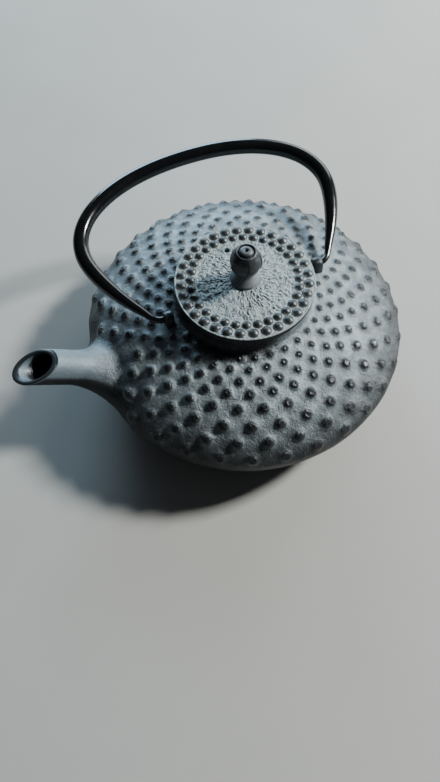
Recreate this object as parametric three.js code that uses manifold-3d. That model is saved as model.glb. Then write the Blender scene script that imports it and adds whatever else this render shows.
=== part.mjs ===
// Cast iron teapot: a hobnailed body with a curved spout, a flat lid with a bud knob,
// a bail handle hooked through two lugs, and a stainless tea basket hanging in the mouth.
// Millimetres, +Z up, +X towards the spout. The origin is the centre of the flat base.
import * as THREE from "three";
import { mergeVertices } from "three/addons/utils/BufferGeometryUtils.js";
import Module from "manifold-3d";

const wasm = await Module();
wasm.setup();

// ---- driving dimensions ------------------------------------------------------------------

// vessel
const BODY_RADIUS = 85;
const EQUATOR_Z = 30;
const SHOULDER_RISE = 31;
const SHOULDER_POWER = 1.64;
const BASE_RADIUS = 50;
const BODY_WALL = 3.6;
const FLOOR_THICKNESS = 4.2;
const BODY_SIDES = 56;
const SHOULDER_STEPS = 9;
const BELLY_STEPS = 5;

// collar round the mouth, with the ledge that carries the basket
const COLLAR_RADIUS = 34.2;
const COLLAR_TOP_Z = 63.2;
const COLLAR_FOOT_RADIUS = 36.4;
const MOUTH_RADIUS = 28.3;
const LEDGE_RADIUS = 31.0;
const LEDGE_Z = 60.2;

// spout
const SPOUT_BORE_TIP = 6.4;
const SPOUT_BORE_ROOT = 8.4;
const SPOUT_SIDES = 20;
const SPOUT_STEPS = 12;
const MOUTH_X = 109.9;
const MOUTH_Z = 58.2;
const MOUTH_TILT = THREE.MathUtils.degToRad(11.3);

// lugs and the handle that hooks through them
const LUG_X = 41.2;
const LUG_THICKNESS = 4.4;
const LUG_WIDTH = 7.0;
const LUG_FOOT_Z = 53.2;
const HINGE_Z = 57.8;
const HOOK_RADIUS = 1.65;
const RUNNING_GAP = 0.3;
const HANDLE_HALF_WIDTH = 68.6;
const HANDLE_WAIST = 46;
const HANDLE_ARCH_RISE = 38.7;
const HANDLE_ARCH_POWER = 2.15;
const HANDLE_DRAW_IN = 17.4;
const HANDLE_DRAW_POWER = 1.6;
const HOOK_BEND_V = 6.7;
const HOOK_TIP_X = 38.6;
const HANDLE_RADIUS = 4.0;
const HANDLE_TAPER_LENGTH = 44;
const HANDLE_REST_TILT = THREE.MathUtils.degToRad(79.3);
const HANDLE_SIDES = 12;

// lid
const LID_RADIUS = 35.3;
const LID_TOP_Z = 66.6;
const LID_UNDER_Z = 63.5;
const LID_CROWN_Z = 67.6;
const LID_SKIRT_OUTER = 25.6;
const LID_SKIRT_INNER = 23.2;
const LID_SKIRT_FOOT_Z = 57.6;
const LID_EDGE_ROUND = 0.7;
const VENT_RADIUS = 1.35;
const VENT_DISTANCE = 20.3;
const VENT_ANGLE = THREE.MathUtils.degToRad(-88.2);
const LID_SIDES = 48;

// knob and its fixing
const STUD_RADIUS = 2.5;
const STUD_FOOT_Z = 58.2;
const STUD_HOLE_RADIUS = STUD_RADIUS + RUNNING_GAP;
const KNOB_FOOT_Z = LID_CROWN_Z + RUNNING_GAP;
const KNOB_SKIRT_RADIUS = 7.6;
const KNOB_NECK_RADIUS = 4.3;
const KNOB_NECK_Z = 73.6;
const KNOB_BUD_RADIUS = 7.75;
const KNOB_BUD_Z = 80.4;
const KNOB_TOP_Z = 88.4;
const WASHER_RADIUS = 6.6;
const WASHER_THICKNESS = 1.2;
const NUT_ACROSS_CORNERS = 9.4;
const NUT_THICKNESS = 3.2;

// tea basket
const SHEET = 0.6;
const BASKET_RIM_RADIUS = 30.5;
const BASKET_RIM_THICKNESS = 1.3;
const BASKET_NECK_RADIUS = 27.9;
const BASKET_NECK_FOOT_Z = 55.2;
const BASKET_WALL_RADIUS = BASKET_NECK_RADIUS - SHEET - RUNNING_GAP;
const BASKET_FLOOR_Z = 22.0;
const BASKET_CUP_HEIGHT = 5.0;
const BASKET_SIDES = 40;

// ---- materials ---------------------------------------------------------------------------

const finish = (name, color, roughness, metalness) =>
  Object.assign(new THREE.MeshStandardMaterial({ color, roughness, metalness }), { name });

const castIron = () => finish("washed_cast_iron", 0x6f7a80, 0.62, 0.55);
const darkIron = () => finish("dark_iron", 0x2b2e30, 0.5, 0.6);
const blackEnamel = () => finish("black_enamel", 0x0d0e0f, 0.22, 0.3);
const zincSteel = () => finish("zinc_steel", 0xa9adaf, 0.38, 0.95);
const stainless = () => finish("stainless_steel", 0xc3c6c8, 0.28, 1.0);

// ---- solids ------------------------------------------------------------------------------

/** Turns a closed three.js geometry into a manifold solid. */
function toSolid(geometry) {
  const bare = geometry.clone();
  bare.deleteAttribute("normal");
  bare.deleteAttribute("uv");
  const merged = mergeVertices(bare, 1e-4);
  return new wasm.Manifold(new wasm.Mesh({
    numProp: 3,
    vertProperties: Float32Array.from(merged.attributes.position.array),
    triVerts: Uint32Array.from(merged.index.array),
  }));
}

/** Turns a manifold solid back into a three.js geometry. */
function toGeometry(solid) {
  const mesh = solid.getMesh();
  const geometry = new THREE.BufferGeometry();
  geometry.setAttribute("position", new THREE.BufferAttribute(Float32Array.from(mesh.vertProperties), 3));
  geometry.setIndex(Array.from(mesh.triVerts));
  geometry.computeVertexNormals();
  return geometry;
}

/** A solid turned about Z from [radius, height] points that run anticlockwise in the half plane. */
function turned(points, sides) {
  const profile = points.map(([radius, height]) => new THREE.Vector2(radius, height));
  const geometry = new THREE.LatheGeometry(profile, sides);
  geometry.rotateX(Math.PI / 2);
  return geometry;
}

/** A turned ring: the profile is closed on itself. */
function turnedRing(points, sides) {
  return turned([...points, points[0]], sides);
}

/**
 * A bar of elliptical section along a flat centreline in the XZ plane.
 * Each station gives its centre (x, z), half depth in the plane and half width across it.
 */
function sweptBar(stations, sides) {
  const positions = [];
  const triangles = [];
  const count = stations.length;
  stations.forEach((station, index) => {
    const before = stations[Math.max(index - 1, 0)];
    const after = stations[Math.min(index + 1, count - 1)];
    const heading = new THREE.Vector2(after.x - before.x, after.z - before.z).normalize();
    for (let side = 0; side < sides; side += 1) {
      const angle = (side / sides) * 2 * Math.PI;
      const inPlane = station.depth * Math.cos(angle);
      const across = station.width * Math.sin(angle);
      positions.push(station.x - heading.y * inPlane, across, station.z + heading.x * inPlane);
    }
  });
  for (let ring = 0; ring < count - 1; ring += 1) {
    for (let side = 0; side < sides; side += 1) {
      const next = (side + 1) % sides;
      const low = ring * sides;
      const high = low + sides;
      triangles.push(low + side, high + side, high + next, low + side, high + next, low + next);
    }
  }
  const lastRing = (count - 1) * sides;
  for (let side = 1; side < sides - 1; side += 1) {
    triangles.push(0, side, side + 1);
    triangles.push(lastRing, lastRing + side + 1, lastRing + side);
  }
  const geometry = new THREE.BufferGeometry();
  geometry.setAttribute("position", new THREE.Float32BufferAttribute(positions, 3));
  geometry.setIndex(triangles);
  geometry.computeVertexNormals();
  return geometry;
}

/** One named mesh of the assembly. */
function piece(name, geometry, material) {
  const mesh = new THREE.Mesh(geometry, material);
  mesh.name = name;
  return mesh;
}

// ---- pot body ----------------------------------------------------------------------------

/** Height of the upper half of the vessel at a radius, for a given rim radius and rise. */
function shoulderHeight(radius, rimRadius, rise) {
  const reach = Math.min(radius / rimRadius, 1);
  return EQUATOR_Z + rise * (1 - reach ** SHOULDER_POWER) ** (1 / SHOULDER_POWER);
}

/** Points of the belly from the flat base out to the equator. */
function bellyPoints(baseRadius, rimRadius, baseZ) {
  return Array.from({ length: BELLY_STEPS + 1 }, (_, step) => {
    const angle = (step / BELLY_STEPS) * (Math.PI / 2);
    return [
      baseRadius + (rimRadius - baseRadius) * Math.sin(angle),
      EQUATOR_Z - (EQUATOR_Z - baseZ) * Math.cos(angle),
    ];
  });
}

/** Points of the shoulder from the equator up to an inner radius. */
function shoulderPoints(rimRadius, rise, innerRadius) {
  return Array.from({ length: SHOULDER_STEPS }, (_, step) => {
    const share = (step + 1) / SHOULDER_STEPS;
    const radius = rimRadius - (rimRadius - innerRadius) * share ** 1.6;
    return [radius, shoulderHeight(radius, rimRadius, rise)];
  });
}

/** The solid vessel with its collar, before it is hollowed. */
function vesselSolid() {
  return toSolid(turned([
    [0, 0],
    ...bellyPoints(BASE_RADIUS, BODY_RADIUS, 0),
    ...shoulderPoints(BODY_RADIUS, SHOULDER_RISE, COLLAR_FOOT_RADIUS),
    [COLLAR_RADIUS + 0.5, 57.4],
    [COLLAR_RADIUS, 58.6],
    [COLLAR_RADIUS, COLLAR_TOP_Z - 0.4],
    [COLLAR_RADIUS - 0.4, COLLAR_TOP_Z],
    [0, COLLAR_TOP_Z],
  ], BODY_SIDES));
}

/** The hollow of the vessel: belly, shoulder, mouth and the recess above the ledge. */
function hollowSolid() {
  const rim = BODY_RADIUS - BODY_WALL;
  const rise = SHOULDER_RISE - BODY_WALL;
  return toSolid(turned([
    [0, FLOOR_THICKNESS],
    ...bellyPoints(BASE_RADIUS, rim, FLOOR_THICKNESS),
    ...shoulderPoints(rim, rise, MOUTH_RADIUS + 1.4),
    [MOUTH_RADIUS, 54.4],
    [MOUTH_RADIUS, LEDGE_Z],
    [LEDGE_RADIUS, LEDGE_Z],
    [LEDGE_RADIUS, COLLAR_TOP_Z + 2],
    [0, COLLAR_TOP_Z + 2],
  ], BODY_SIDES));
}

// The spout's centreline leaves the side of the vessel and climbs outwards. The knots set
// the way it bends and how its flared root narrows to the round tube.
const SPOUT_PATH = new THREE.CatmullRomCurve3([
  new THREE.Vector3(60, 0, 21),
  new THREE.Vector3(71, 0, 27.5),
  new THREE.Vector3(80, 0, 34),
  new THREE.Vector3(88, 0, 41),
  new THREE.Vector3(96, 0, 47.6),
  new THREE.Vector3(104, 0, 53.6),
  new THREE.Vector3(111, 0, 58.9),
  new THREE.Vector3(121, 0, 66.8),
]);
const SPOUT_TUBE_RADIUS = 8.7;
const SPOUT_FLARE_WIDTH = 15.5;
const SPOUT_FLARE_DEPTH = 7.5;
const SPOUT_FLARE_START = 60;
const SPOUT_FLARE_END = 99;

/** How much of the root flare is left at a distance from the pot's axis, from 1 to 0. */
function flareShare(x) {
  const run = THREE.MathUtils.clamp((SPOUT_FLARE_END - x) / (SPOUT_FLARE_END - SPOUT_FLARE_START), 0, 1);
  return run ** 1.9;
}

/** The outside of the spout as a solid horn. */
function spoutSolid() {
  const stations = SPOUT_PATH.getSpacedPoints(SPOUT_STEPS).map((point) => ({
    x: point.x,
    z: point.z,
    depth: SPOUT_TUBE_RADIUS + SPOUT_FLARE_DEPTH * flareShare(point.x),
    width: SPOUT_TUBE_RADIUS + SPOUT_FLARE_WIDTH * flareShare(point.x),
  }));
  return toSolid(sweptBar(stations, SPOUT_SIDES));
}

/** The bore of the spout, from the hollow of the vessel out through the mouth. */
function boreSolid() {
  const stations = SPOUT_PATH.getSpacedPoints(SPOUT_STEPS).map((point) => {
    const radius = SPOUT_BORE_TIP + (SPOUT_BORE_ROOT - SPOUT_BORE_TIP) * flareShare(point.x);
    return { x: point.x, z: point.z, depth: radius, width: radius };
  });
  return toSolid(sweptBar(stations, SPOUT_SIDES));
}

/** The block cut away above the spout's slanting mouth. */
function mouthCutter() {
  const block = new THREE.BoxGeometry(60, 60, 40);
  block.translate(0, 0, 20);
  block.rotateY(MOUTH_TILT);
  block.translate(MOUTH_X, 0, MOUTH_Z);
  return toSolid(block);
}

/** A standing lug with a round top and the hole the handle hooks through. */
function lugSolid(side) {
  const outline = new THREE.Shape();
  const half = LUG_WIDTH / 2;
  outline.moveTo(-half, LUG_FOOT_Z);
  outline.lineTo(half, LUG_FOOT_Z);
  outline.lineTo(half, HINGE_Z);
  outline.absarc(0, HINGE_Z, half, 0, Math.PI, false);
  outline.lineTo(-half, LUG_FOOT_Z);
  const hole = new THREE.Path();
  hole.absarc(0, HINGE_Z, HOOK_RADIUS + RUNNING_GAP, 0, 2 * Math.PI, true);
  outline.holes.push(hole);
  const slab = new THREE.ExtrudeGeometry(outline, {
    depth: LUG_THICKNESS,
    bevelEnabled: false,
    curveSegments: 10,
  });
  slab.rotateX(Math.PI / 2);
  slab.rotateZ(Math.PI / 2);
  slab.translate(side * LUG_X - LUG_THICKNESS / 2, 0, 0);
  return toSolid(slab);
}

function potBody() {
  const outside = vesselSolid().add(spoutSolid()).subtract(mouthCutter());
  const hollowed = outside.subtract(hollowSolid()).subtract(boreSolid());
  return toGeometry(hollowed.add(lugSolid(1)).add(lugSolid(-1)));
}

// ---- lid and knob ------------------------------------------------------------------------

function potLid() {
  const disc = toSolid(turnedRing([
    [STUD_HOLE_RADIUS, LID_UNDER_Z],
    [LID_SKIRT_INNER, LID_UNDER_Z],
    [LID_SKIRT_INNER, LID_SKIRT_FOOT_Z],
    [LID_SKIRT_OUTER, LID_SKIRT_FOOT_Z],
    [LID_SKIRT_OUTER, LID_UNDER_Z],
    [LID_RADIUS - LID_EDGE_ROUND, LID_UNDER_Z],
    [LID_RADIUS, LID_UNDER_Z + LID_EDGE_ROUND],
    [LID_RADIUS, LID_TOP_Z - LID_EDGE_ROUND],
    [LID_RADIUS - LID_EDGE_ROUND, LID_TOP_Z],
    [LID_SKIRT_INNER, LID_TOP_Z],
    [(LID_SKIRT_INNER + KNOB_SKIRT_RADIUS) / 2, (LID_TOP_Z + LID_CROWN_Z) / 2 + 0.15],
    [KNOB_SKIRT_RADIUS + 1, LID_CROWN_Z],
    [STUD_HOLE_RADIUS, LID_CROWN_Z],
  ], LID_SIDES));
  const vent = new THREE.CylinderGeometry(VENT_RADIUS, VENT_RADIUS, 20, 16);
  vent.rotateX(Math.PI / 2);
  vent.translate(VENT_DISTANCE * Math.cos(VENT_ANGLE), VENT_DISTANCE * Math.sin(VENT_ANGLE), LID_TOP_Z);
  return toGeometry(disc.subtract(toSolid(vent)));
}

/** The knob's outline: stud, flared skirt, neck and bud. */
function lidKnob() {
  const bud = new THREE.SplineCurve([
    new THREE.Vector2(KNOB_SKIRT_RADIUS, KNOB_FOOT_Z),
    new THREE.Vector2(KNOB_SKIRT_RADIUS - 1.5, KNOB_FOOT_Z + 2.2),
    new THREE.Vector2(KNOB_NECK_RADIUS, KNOB_NECK_Z),
    new THREE.Vector2(KNOB_BUD_RADIUS - 0.9, KNOB_NECK_Z + 3.6),
    new THREE.Vector2(KNOB_BUD_RADIUS, KNOB_BUD_Z),
    new THREE.Vector2(KNOB_BUD_RADIUS - 1.1, KNOB_BUD_Z + 4.6),
    new THREE.Vector2(KNOB_BUD_RADIUS - 4.2, KNOB_TOP_Z - 0.5),
  ]);
  const outline = bud.getPoints(18).map((point) => [point.x, point.y]);
  return turned([
    [0, STUD_FOOT_Z],
    [STUD_RADIUS, STUD_FOOT_Z],
    [STUD_RADIUS, KNOB_FOOT_Z],
    ...outline,
    [0, KNOB_TOP_Z],
  ], 24);
}

function knobWasher() {
  const top = LID_UNDER_Z - RUNNING_GAP;
  return turnedRing([
    [STUD_HOLE_RADIUS, top - WASHER_THICKNESS],
    [WASHER_RADIUS, top - WASHER_THICKNESS],
    [WASHER_RADIUS, top],
    [STUD_HOLE_RADIUS, top],
  ], 24);
}

function knobNut() {
  const top = LID_UNDER_Z - WASHER_THICKNESS - 2 * RUNNING_GAP;
  const block = new THREE.CylinderGeometry(NUT_ACROSS_CORNERS / 2, NUT_ACROSS_CORNERS / 2, NUT_THICKNESS, 6);
  block.rotateX(Math.PI / 2);
  block.translate(0, 0, top - NUT_THICKNESS / 2);
  const hole = new THREE.CylinderGeometry(STUD_HOLE_RADIUS, STUD_HOLE_RADIUS, 2 * NUT_THICKNESS, 24);
  hole.rotateX(Math.PI / 2);
  hole.translate(0, 0, top - NUT_THICKNESS / 2);
  return toGeometry(toSolid(block).subtract(toSolid(hole)));
}

// ---- bail handle -------------------------------------------------------------------------

/** One half of the handle's centreline in its own plane, from the hook's tip to the crown. */
function handleHalf() {
  const points = [];
  const bendX = HANDLE_HALF_WIDTH - HANDLE_DRAW_IN;
  const cornerX = bendX - 3.6;
  points.push(new THREE.Vector2(HOOK_TIP_X, 0));
  const hook = new THREE.QuadraticBezierCurve(
    new THREE.Vector2(cornerX - 3, 0),
    new THREE.Vector2(cornerX + 0.4, 0),
    new THREE.Vector2(bendX, HOOK_BEND_V),
  );
  points.push(...hook.getPoints(5));
  const limbSteps = 7;
  for (let step = 1; step <= limbSteps; step += 1) {
    const height = THREE.MathUtils.lerp(HOOK_BEND_V, HANDLE_WAIST, step / limbSteps);
    const drop = (HANDLE_WAIST - height) / (HANDLE_WAIST - HOOK_BEND_V);
    points.push(new THREE.Vector2(HANDLE_HALF_WIDTH - HANDLE_DRAW_IN * drop ** HANDLE_DRAW_POWER, height));
  }
  const archSteps = 12;
  for (let step = 1; step <= archSteps; step += 1) {
    const angle = (step / archSteps) * (Math.PI / 2);
    points.push(new THREE.Vector2(
      HANDLE_HALF_WIDTH * Math.cos(angle) ** (2 / HANDLE_ARCH_POWER),
      HANDLE_WAIST + HANDLE_ARCH_RISE * Math.sin(angle) ** (2 / HANDLE_ARCH_POWER),
    ));
  }
  return points;
}

/** The bar's radius at a distance along it from the tip of the hook. */
function barRadius(distance) {
  const pinLength = 12;
  const share = THREE.MathUtils.clamp((distance - pinLength) / HANDLE_TAPER_LENGTH, 0, 1);
  return HOOK_RADIUS + (HANDLE_RADIUS - HOOK_RADIUS) * Math.sin((share * Math.PI) / 2);
}

/** The whole handle, standing upright over the hinge line. */
function bailHandle() {
  const half = handleHalf();
  let distance = 0;
  const stations = half.map((point, index) => {
    distance += index > 0 ? point.distanceTo(half[index - 1]) : 0;
    const radius = barRadius(distance);
    return { x: point.x, z: point.y, depth: radius, width: radius };
  });
  const mirrored = stations.slice(0, -1).reverse().map((station) => ({ ...station, x: -station.x }));
  const bar = sweptBar([...stations, ...mirrored], HANDLE_SIDES);
  bar.rotateX(HANDLE_REST_TILT);
  bar.translate(0, 0, HINGE_Z);
  return bar;
}

// ---- tea basket --------------------------------------------------------------------------

function infuserRim() {
  const foot = LEDGE_Z + RUNNING_GAP;
  return turnedRing([
    [BASKET_NECK_RADIUS - SHEET, BASKET_NECK_FOOT_Z],
    [BASKET_NECK_RADIUS, BASKET_NECK_FOOT_Z],
    [BASKET_NECK_RADIUS, foot],
    [BASKET_RIM_RADIUS - 0.4, foot],
    [BASKET_RIM_RADIUS, foot + 0.4],
    [BASKET_RIM_RADIUS - 0.4, foot + BASKET_RIM_THICKNESS],
    [BASKET_NECK_RADIUS + 0.2, foot + SHEET],
    [BASKET_NECK_RADIUS - SHEET, foot + SHEET],
  ], BASKET_SIDES);
}

function infuserWall() {
  const foot = BASKET_FLOOR_Z + SHEET + RUNNING_GAP;
  return turnedRing([
    [BASKET_WALL_RADIUS - SHEET, foot],
    [BASKET_WALL_RADIUS, foot],
    [BASKET_WALL_RADIUS, LEDGE_Z],
    [BASKET_WALL_RADIUS - SHEET, LEDGE_Z],
  ], BASKET_SIDES);
}

function infuserBase() {
  return turned([
    [0, BASKET_FLOOR_Z],
    [BASKET_NECK_RADIUS - 0.4, BASKET_FLOOR_Z],
    [BASKET_NECK_RADIUS, BASKET_FLOOR_Z + 0.4],
    [BASKET_NECK_RADIUS, BASKET_FLOOR_Z + BASKET_CUP_HEIGHT],
    [BASKET_NECK_RADIUS - SHEET, BASKET_FLOOR_Z + BASKET_CUP_HEIGHT],
    [BASKET_NECK_RADIUS - SHEET, BASKET_FLOOR_Z + SHEET],
    [0, BASKET_FLOOR_Z + SHEET],
  ], BASKET_SIDES);
}

// ---- assembly ----------------------------------------------------------------------------

const group = new THREE.Group();
group.name = "cast_iron_teapot";
group.add(
  piece("pot_body", potBody(), castIron()),
  piece("pot_lid", potLid(), castIron()),
  piece("lid_knob", lidKnob(), darkIron()),
  piece("knob_washer", knobWasher(), zincSteel()),
  piece("knob_nut", knobNut(), zincSteel()),
  piece("bail_handle", bailHandle(), blackEnamel()),
  piece("infuser_rim", infuserRim(), stainless()),
  piece("infuser_wall", infuserWall(), stainless()),
  piece("infuser_base", infuserBase(), stainless()),
);

export default group;
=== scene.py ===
"""Looks of a cast iron teapot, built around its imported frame.

A hobnailed pot with a curved spout and two lugs, a flat lid with domes and a bud knob,
a bail handle and a stainless tea basket. Shapes are worked out in millimetres in the
frame of the solids: +X towards the spout, +Z up, the flat base on z = 0.
"""

import logging
import math
from dataclasses import dataclass, field
from enum import Enum

import bmesh
import bpy
import numpy as np
from mathutils import Matrix, Vector

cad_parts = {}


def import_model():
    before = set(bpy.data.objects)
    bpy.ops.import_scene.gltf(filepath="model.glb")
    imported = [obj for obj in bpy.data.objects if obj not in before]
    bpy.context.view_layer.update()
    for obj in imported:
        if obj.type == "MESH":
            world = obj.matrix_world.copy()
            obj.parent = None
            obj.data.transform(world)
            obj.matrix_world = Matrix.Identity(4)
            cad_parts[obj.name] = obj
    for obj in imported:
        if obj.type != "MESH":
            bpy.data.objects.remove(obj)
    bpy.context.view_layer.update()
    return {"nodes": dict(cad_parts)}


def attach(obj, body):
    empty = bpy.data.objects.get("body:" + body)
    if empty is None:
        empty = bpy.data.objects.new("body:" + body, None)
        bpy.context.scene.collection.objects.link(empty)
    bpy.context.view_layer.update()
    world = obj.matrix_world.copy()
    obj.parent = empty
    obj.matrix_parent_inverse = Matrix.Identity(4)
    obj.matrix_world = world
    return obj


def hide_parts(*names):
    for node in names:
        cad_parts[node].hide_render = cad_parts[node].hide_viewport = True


MM = 0.001
TAU = 2.0 * math.pi
LOG = logging.getLogger("teapot")
PAINTED_SHADE = -1.0  # a "rub" value that paints the iron matte black, as painted shade in gaps, recesses and undersides
ENAMELLED = 2.0  # a "rub" value that gives the coated inside
SHADED_SIDE_ANGLE = math.radians(28.0)  # where painted shade on the collar and the shoulder by it is strongest, turned from the spout
Colour = tuple[float, float, float]
Place = tuple[float, float, float]
Joint = bpy.types.NodeSocket


class Body(Enum):
    """Names of the moving bodies of the frame."""

    POT = "pot"
    HANDLE = "handle"
    BASKET = "basket"
    LID = "lid"


class Slot(Enum):
    """Names of the record's material slots."""

    WASHED_IRON = "washed_iron"
    DARK_IRON = "dark_iron"
    ZINC_STEEL = "zinc_steel"
    BLACK_ENAMEL = "black_enamel"
    STAINLESS = "stainless"


# ---- small number helpers ----------------------------------------------------------------


def smoothstep(low: float, high: float, value: np.ndarray | float) -> np.ndarray:
    """Eases from 0 at one value to 1 at another.

    Args:
        low: The value where the ease starts.
        high: The value where it ends.
        value: The number or array to ease.

    Returns:
        The eased share, from 0 to 1.
    """
    share = np.clip((np.asarray(value, float) - low) / (high - low), 0.0, 1.0)
    return share * share * (3.0 - 2.0 * share)


def lattice_noise(points: np.ndarray, cell: float, seed: int) -> np.ndarray:
    """Smooth random values in space, the same on every run.

    Args:
        points: Array of points, the last axis holding x, y and z in millimetres.
        cell: Size of one noise cell in millimetres.
        seed: Picks one of many patterns.

    Returns:
        Values from -1 to 1 with the shape of the points without their last axis.
    """
    scaled = points / cell + 311.7
    base = np.floor(scaled).astype(np.int64)
    part = scaled - base
    ease = part * part * (3.0 - 2.0 * part)
    total = np.zeros(points.shape[:-1])
    for corner in range(8):
        step = np.array([corner & 1, (corner >> 1) & 1, (corner >> 2) & 1])
        key = base + step
        mixed = key[..., 0] * 73856093 ^ key[..., 1] * 19349663 ^ key[..., 2] * 83492791
        mixed = (mixed ^ (seed * 2654435761)) & 0x7FFFFFFF
        mixed = (mixed * 1103515245 + 12345) & 0x7FFFFFFF
        mixed = (mixed ^ (mixed >> 13)) * 69069 & 0x7FFFFFFF
        value = mixed / float(0x3FFFFFFF) - 1.0
        weight = np.where(step == 1, ease, 1.0 - ease).prod(axis=-1)
        total += value * weight
    return total


def around(count: int) -> np.ndarray:
    """Evenly spaced angles once round, in radians."""
    return np.arange(count) * TAU / count


def lengths(line: np.ndarray) -> np.ndarray:
    """Distance of each point of a line from the line's start."""
    return np.concatenate([[0.0], np.cumsum(np.hypot(*np.diff(line, axis=0).T))])


def resample(line: np.ndarray, along: np.ndarray, wanted: np.ndarray) -> np.ndarray:
    """Points of a flat line at wanted distances.

    Args:
        line: The line's two coordinates, point by point.
        along: The distance of each of its points.
        wanted: The distances to read.

    Returns:
        The points at those distances.
    """
    return np.stack([np.interp(wanted, along, line[:, axis]) for axis in (0, 1)], axis=1)


def soften(line: np.ndarray, rounds: int) -> np.ndarray:
    """Rounds off the corners of an evenly spaced line, keeping its two ends.

    Args:
        line: The line's two coordinates, point by point.
        rounds: How often each point is averaged with its neighbours.

    Returns:
        The softened line.
    """
    kernel = np.array([0.25, 0.5, 0.25])
    soft = line.copy()
    for _ in range(rounds):
        soft[1:-1] = np.stack([np.convolve(soft[:, axis], kernel, mode="valid") for axis in (0, 1)], axis=1)
    return soft


def walk(points: list[tuple[float, float]], spacing: float) -> np.ndarray:
    """Points at an even spacing along a line in the half plane.

    Args:
        points: Corners of the line as radius and height in millimetres.
        spacing: Wanted distance between points in millimetres.

    Returns:
        Array of radius and height, first and last corner included.
    """
    line = np.array(points, float)
    along = lengths(line)
    count = max(int(round(along[-1] / spacing)), 1)
    return resample(line, along, np.linspace(0.0, along[-1], count + 1))


def turn(profile: np.ndarray, angles: np.ndarray) -> np.ndarray:
    """Turns a line of radius and height about the upright axis.

    Args:
        profile: Array of radius and height.
        angles: Angles of the columns in radians.

    Returns:
        Array of rows by columns by x, y, z.
    """
    radius, height = profile[:, :1], profile[:, 1:]
    ones = np.ones_like(angles)[None, :]
    return np.stack([radius * np.cos(angles), radius * np.sin(angles), height * ones], axis=2)


# ---- drafting a mesh ---------------------------------------------------------------------


@dataclass
class MeshDraft:
    """Points and faces of one piece while it is being made, in millimetres."""

    points: list[np.ndarray] = field(default_factory=list)
    rubs: list[np.ndarray] = field(default_factory=list)
    faces: list[tuple[int, ...]] = field(default_factory=list)
    count: int = 0

    def add(self, points: np.ndarray, rub: np.ndarray | None = None) -> np.ndarray:
        """Adds points and gives back their numbers.

        Args:
            points: Array whose last axis is x, y, z.
            rub: How far each point stands proud and is rubbed bare, from 0 to 1; negative values paint
                shade, and 2 marks the enamelled inside.

        Returns:
            Numbers of the points, shaped like the array without its last axis.
        """
        shape = points.shape[:-1]
        amount = int(np.prod(shape))
        self.points.append(points.reshape(-1, 3))
        self.rubs.append(np.zeros(amount) if rub is None else np.asarray(rub, float).reshape(-1))
        numbers = np.arange(self.count, self.count + amount).reshape(shape)
        self.count += amount
        return numbers

    def strip(self, low: np.ndarray, high: np.ndarray, closed: bool = True) -> None:
        """Joins two rows of the same length with four-sided faces.

        Args:
            low: Point numbers of one row.
            high: Point numbers of the other row.
            closed: Whether the last point joins back to the first.
        """
        if closed:
            low, high = np.append(low, low[0]), np.append(high, high[0])
        self.faces.extend(zip(low[:-1].tolist(), low[1:].tolist(), high[1:].tolist(), high[:-1].tolist()))

    def skin(self, rows: np.ndarray | list[np.ndarray]) -> None:
        """Joins each closed row to the next one."""
        for low, high in zip(rows[:-1], rows[1:]):
            self.strip(low, high)

    def hoop(self, rows: np.ndarray) -> None:
        """Joins each closed row to the next one, and the last to the first."""
        for index in range(len(rows)):
            self.strip(rows[index - 1], rows[index])

    def halve(self, full: np.ndarray, half: np.ndarray) -> None:
        """Joins a closed row to a closed row with half as many points.

        Args:
            full: Point numbers of the fine row.
            half: Point numbers of the coarse row; its point k faces fine point 2k.
        """
        count = len(half)
        for k in range(count):
            a, b, c = full[2 * k], full[2 * k + 1], full[(2 * k + 2) % (2 * count)]
            d, e = half[k], half[(k + 1) % count]
            self.faces.append((int(a), int(b), int(d)))
            self.faces.append((int(b), int(e), int(d)))
            self.faces.append((int(b), int(c), int(e)))

    def fan(self, row: np.ndarray, centre: np.ndarray) -> None:
        """Closes a row onto one point.

        Args:
            row: Point numbers of the closed row.
            centre: The point that closes it, as x, y, z.
        """
        middle = int(self.add(np.asarray(centre, float).reshape(1, 3))[0])
        following = np.roll(row, -1)
        self.faces.extend((int(a), int(b), middle) for a, b in zip(row, following))

    def finish(self, name: str, material: bpy.types.Material) -> bpy.types.Object:
        """Makes the Blender object, in metres and with its faces turned outwards.

        Args:
            name: Name of the piece.
            material: Its material.

        Returns:
            The new object, linked into the scene.
        """
        coordinates = np.concatenate(self.points) * MM
        mesh = bpy.data.meshes.new(name)
        mesh.from_pydata(coordinates, [], self.faces)
        attribute = mesh.attributes.new("rub", "FLOAT", "POINT")
        attribute.data.foreach_set("value", np.concatenate(self.rubs).astype(np.float32))
        return adopt(name, mesh, material)


def put_in_scene(thing: bpy.types.Object) -> None:
    """Links an object into the scene."""
    bpy.context.scene.collection.objects.link(thing)


def adopt(name: str, mesh: bpy.types.Mesh, material: bpy.types.Material) -> bpy.types.Object:
    """Turns a mesh's faces outwards, smooths it and puts it in the scene.

    Args:
        name: Name of the piece.
        mesh: The mesh in metres.
        material: Its material.

    Returns:
        The new object.
    """
    work = bmesh.new()
    work.from_mesh(mesh)
    bmesh.ops.recalc_face_normals(work, faces=work.faces)
    for face in work.faces:
        face.smooth = True
    work.to_mesh(mesh)
    work.free()
    mesh.materials.append(material)
    piece = bpy.data.objects.new(name, mesh)
    put_in_scene(piece)
    return piece


def mount(piece: bpy.types.Object, body: Body, slot: Slot, *nodes: str) -> bpy.types.Object:
    """Rides a piece on its body and hides the solids it stands for.

    Args:
        piece: The finished piece, in place.
        body: The body it moves with.
        slot: Not used.
        nodes: Names of the solids it replaces.

    Returns:
        The same piece.
    """
    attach(piece, body.value)
    if nodes:
        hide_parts(*nodes)
    return piece


def shaded_side(angle: np.ndarray) -> np.ndarray:
    """How much painted shade darkens the collar and the shoulder by it at an angle round the pot, from 0 to
    1.
    """
    return smoothstep(0.0, 0.9, np.cos(angle - SHADED_SIDE_ANGLE))


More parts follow.
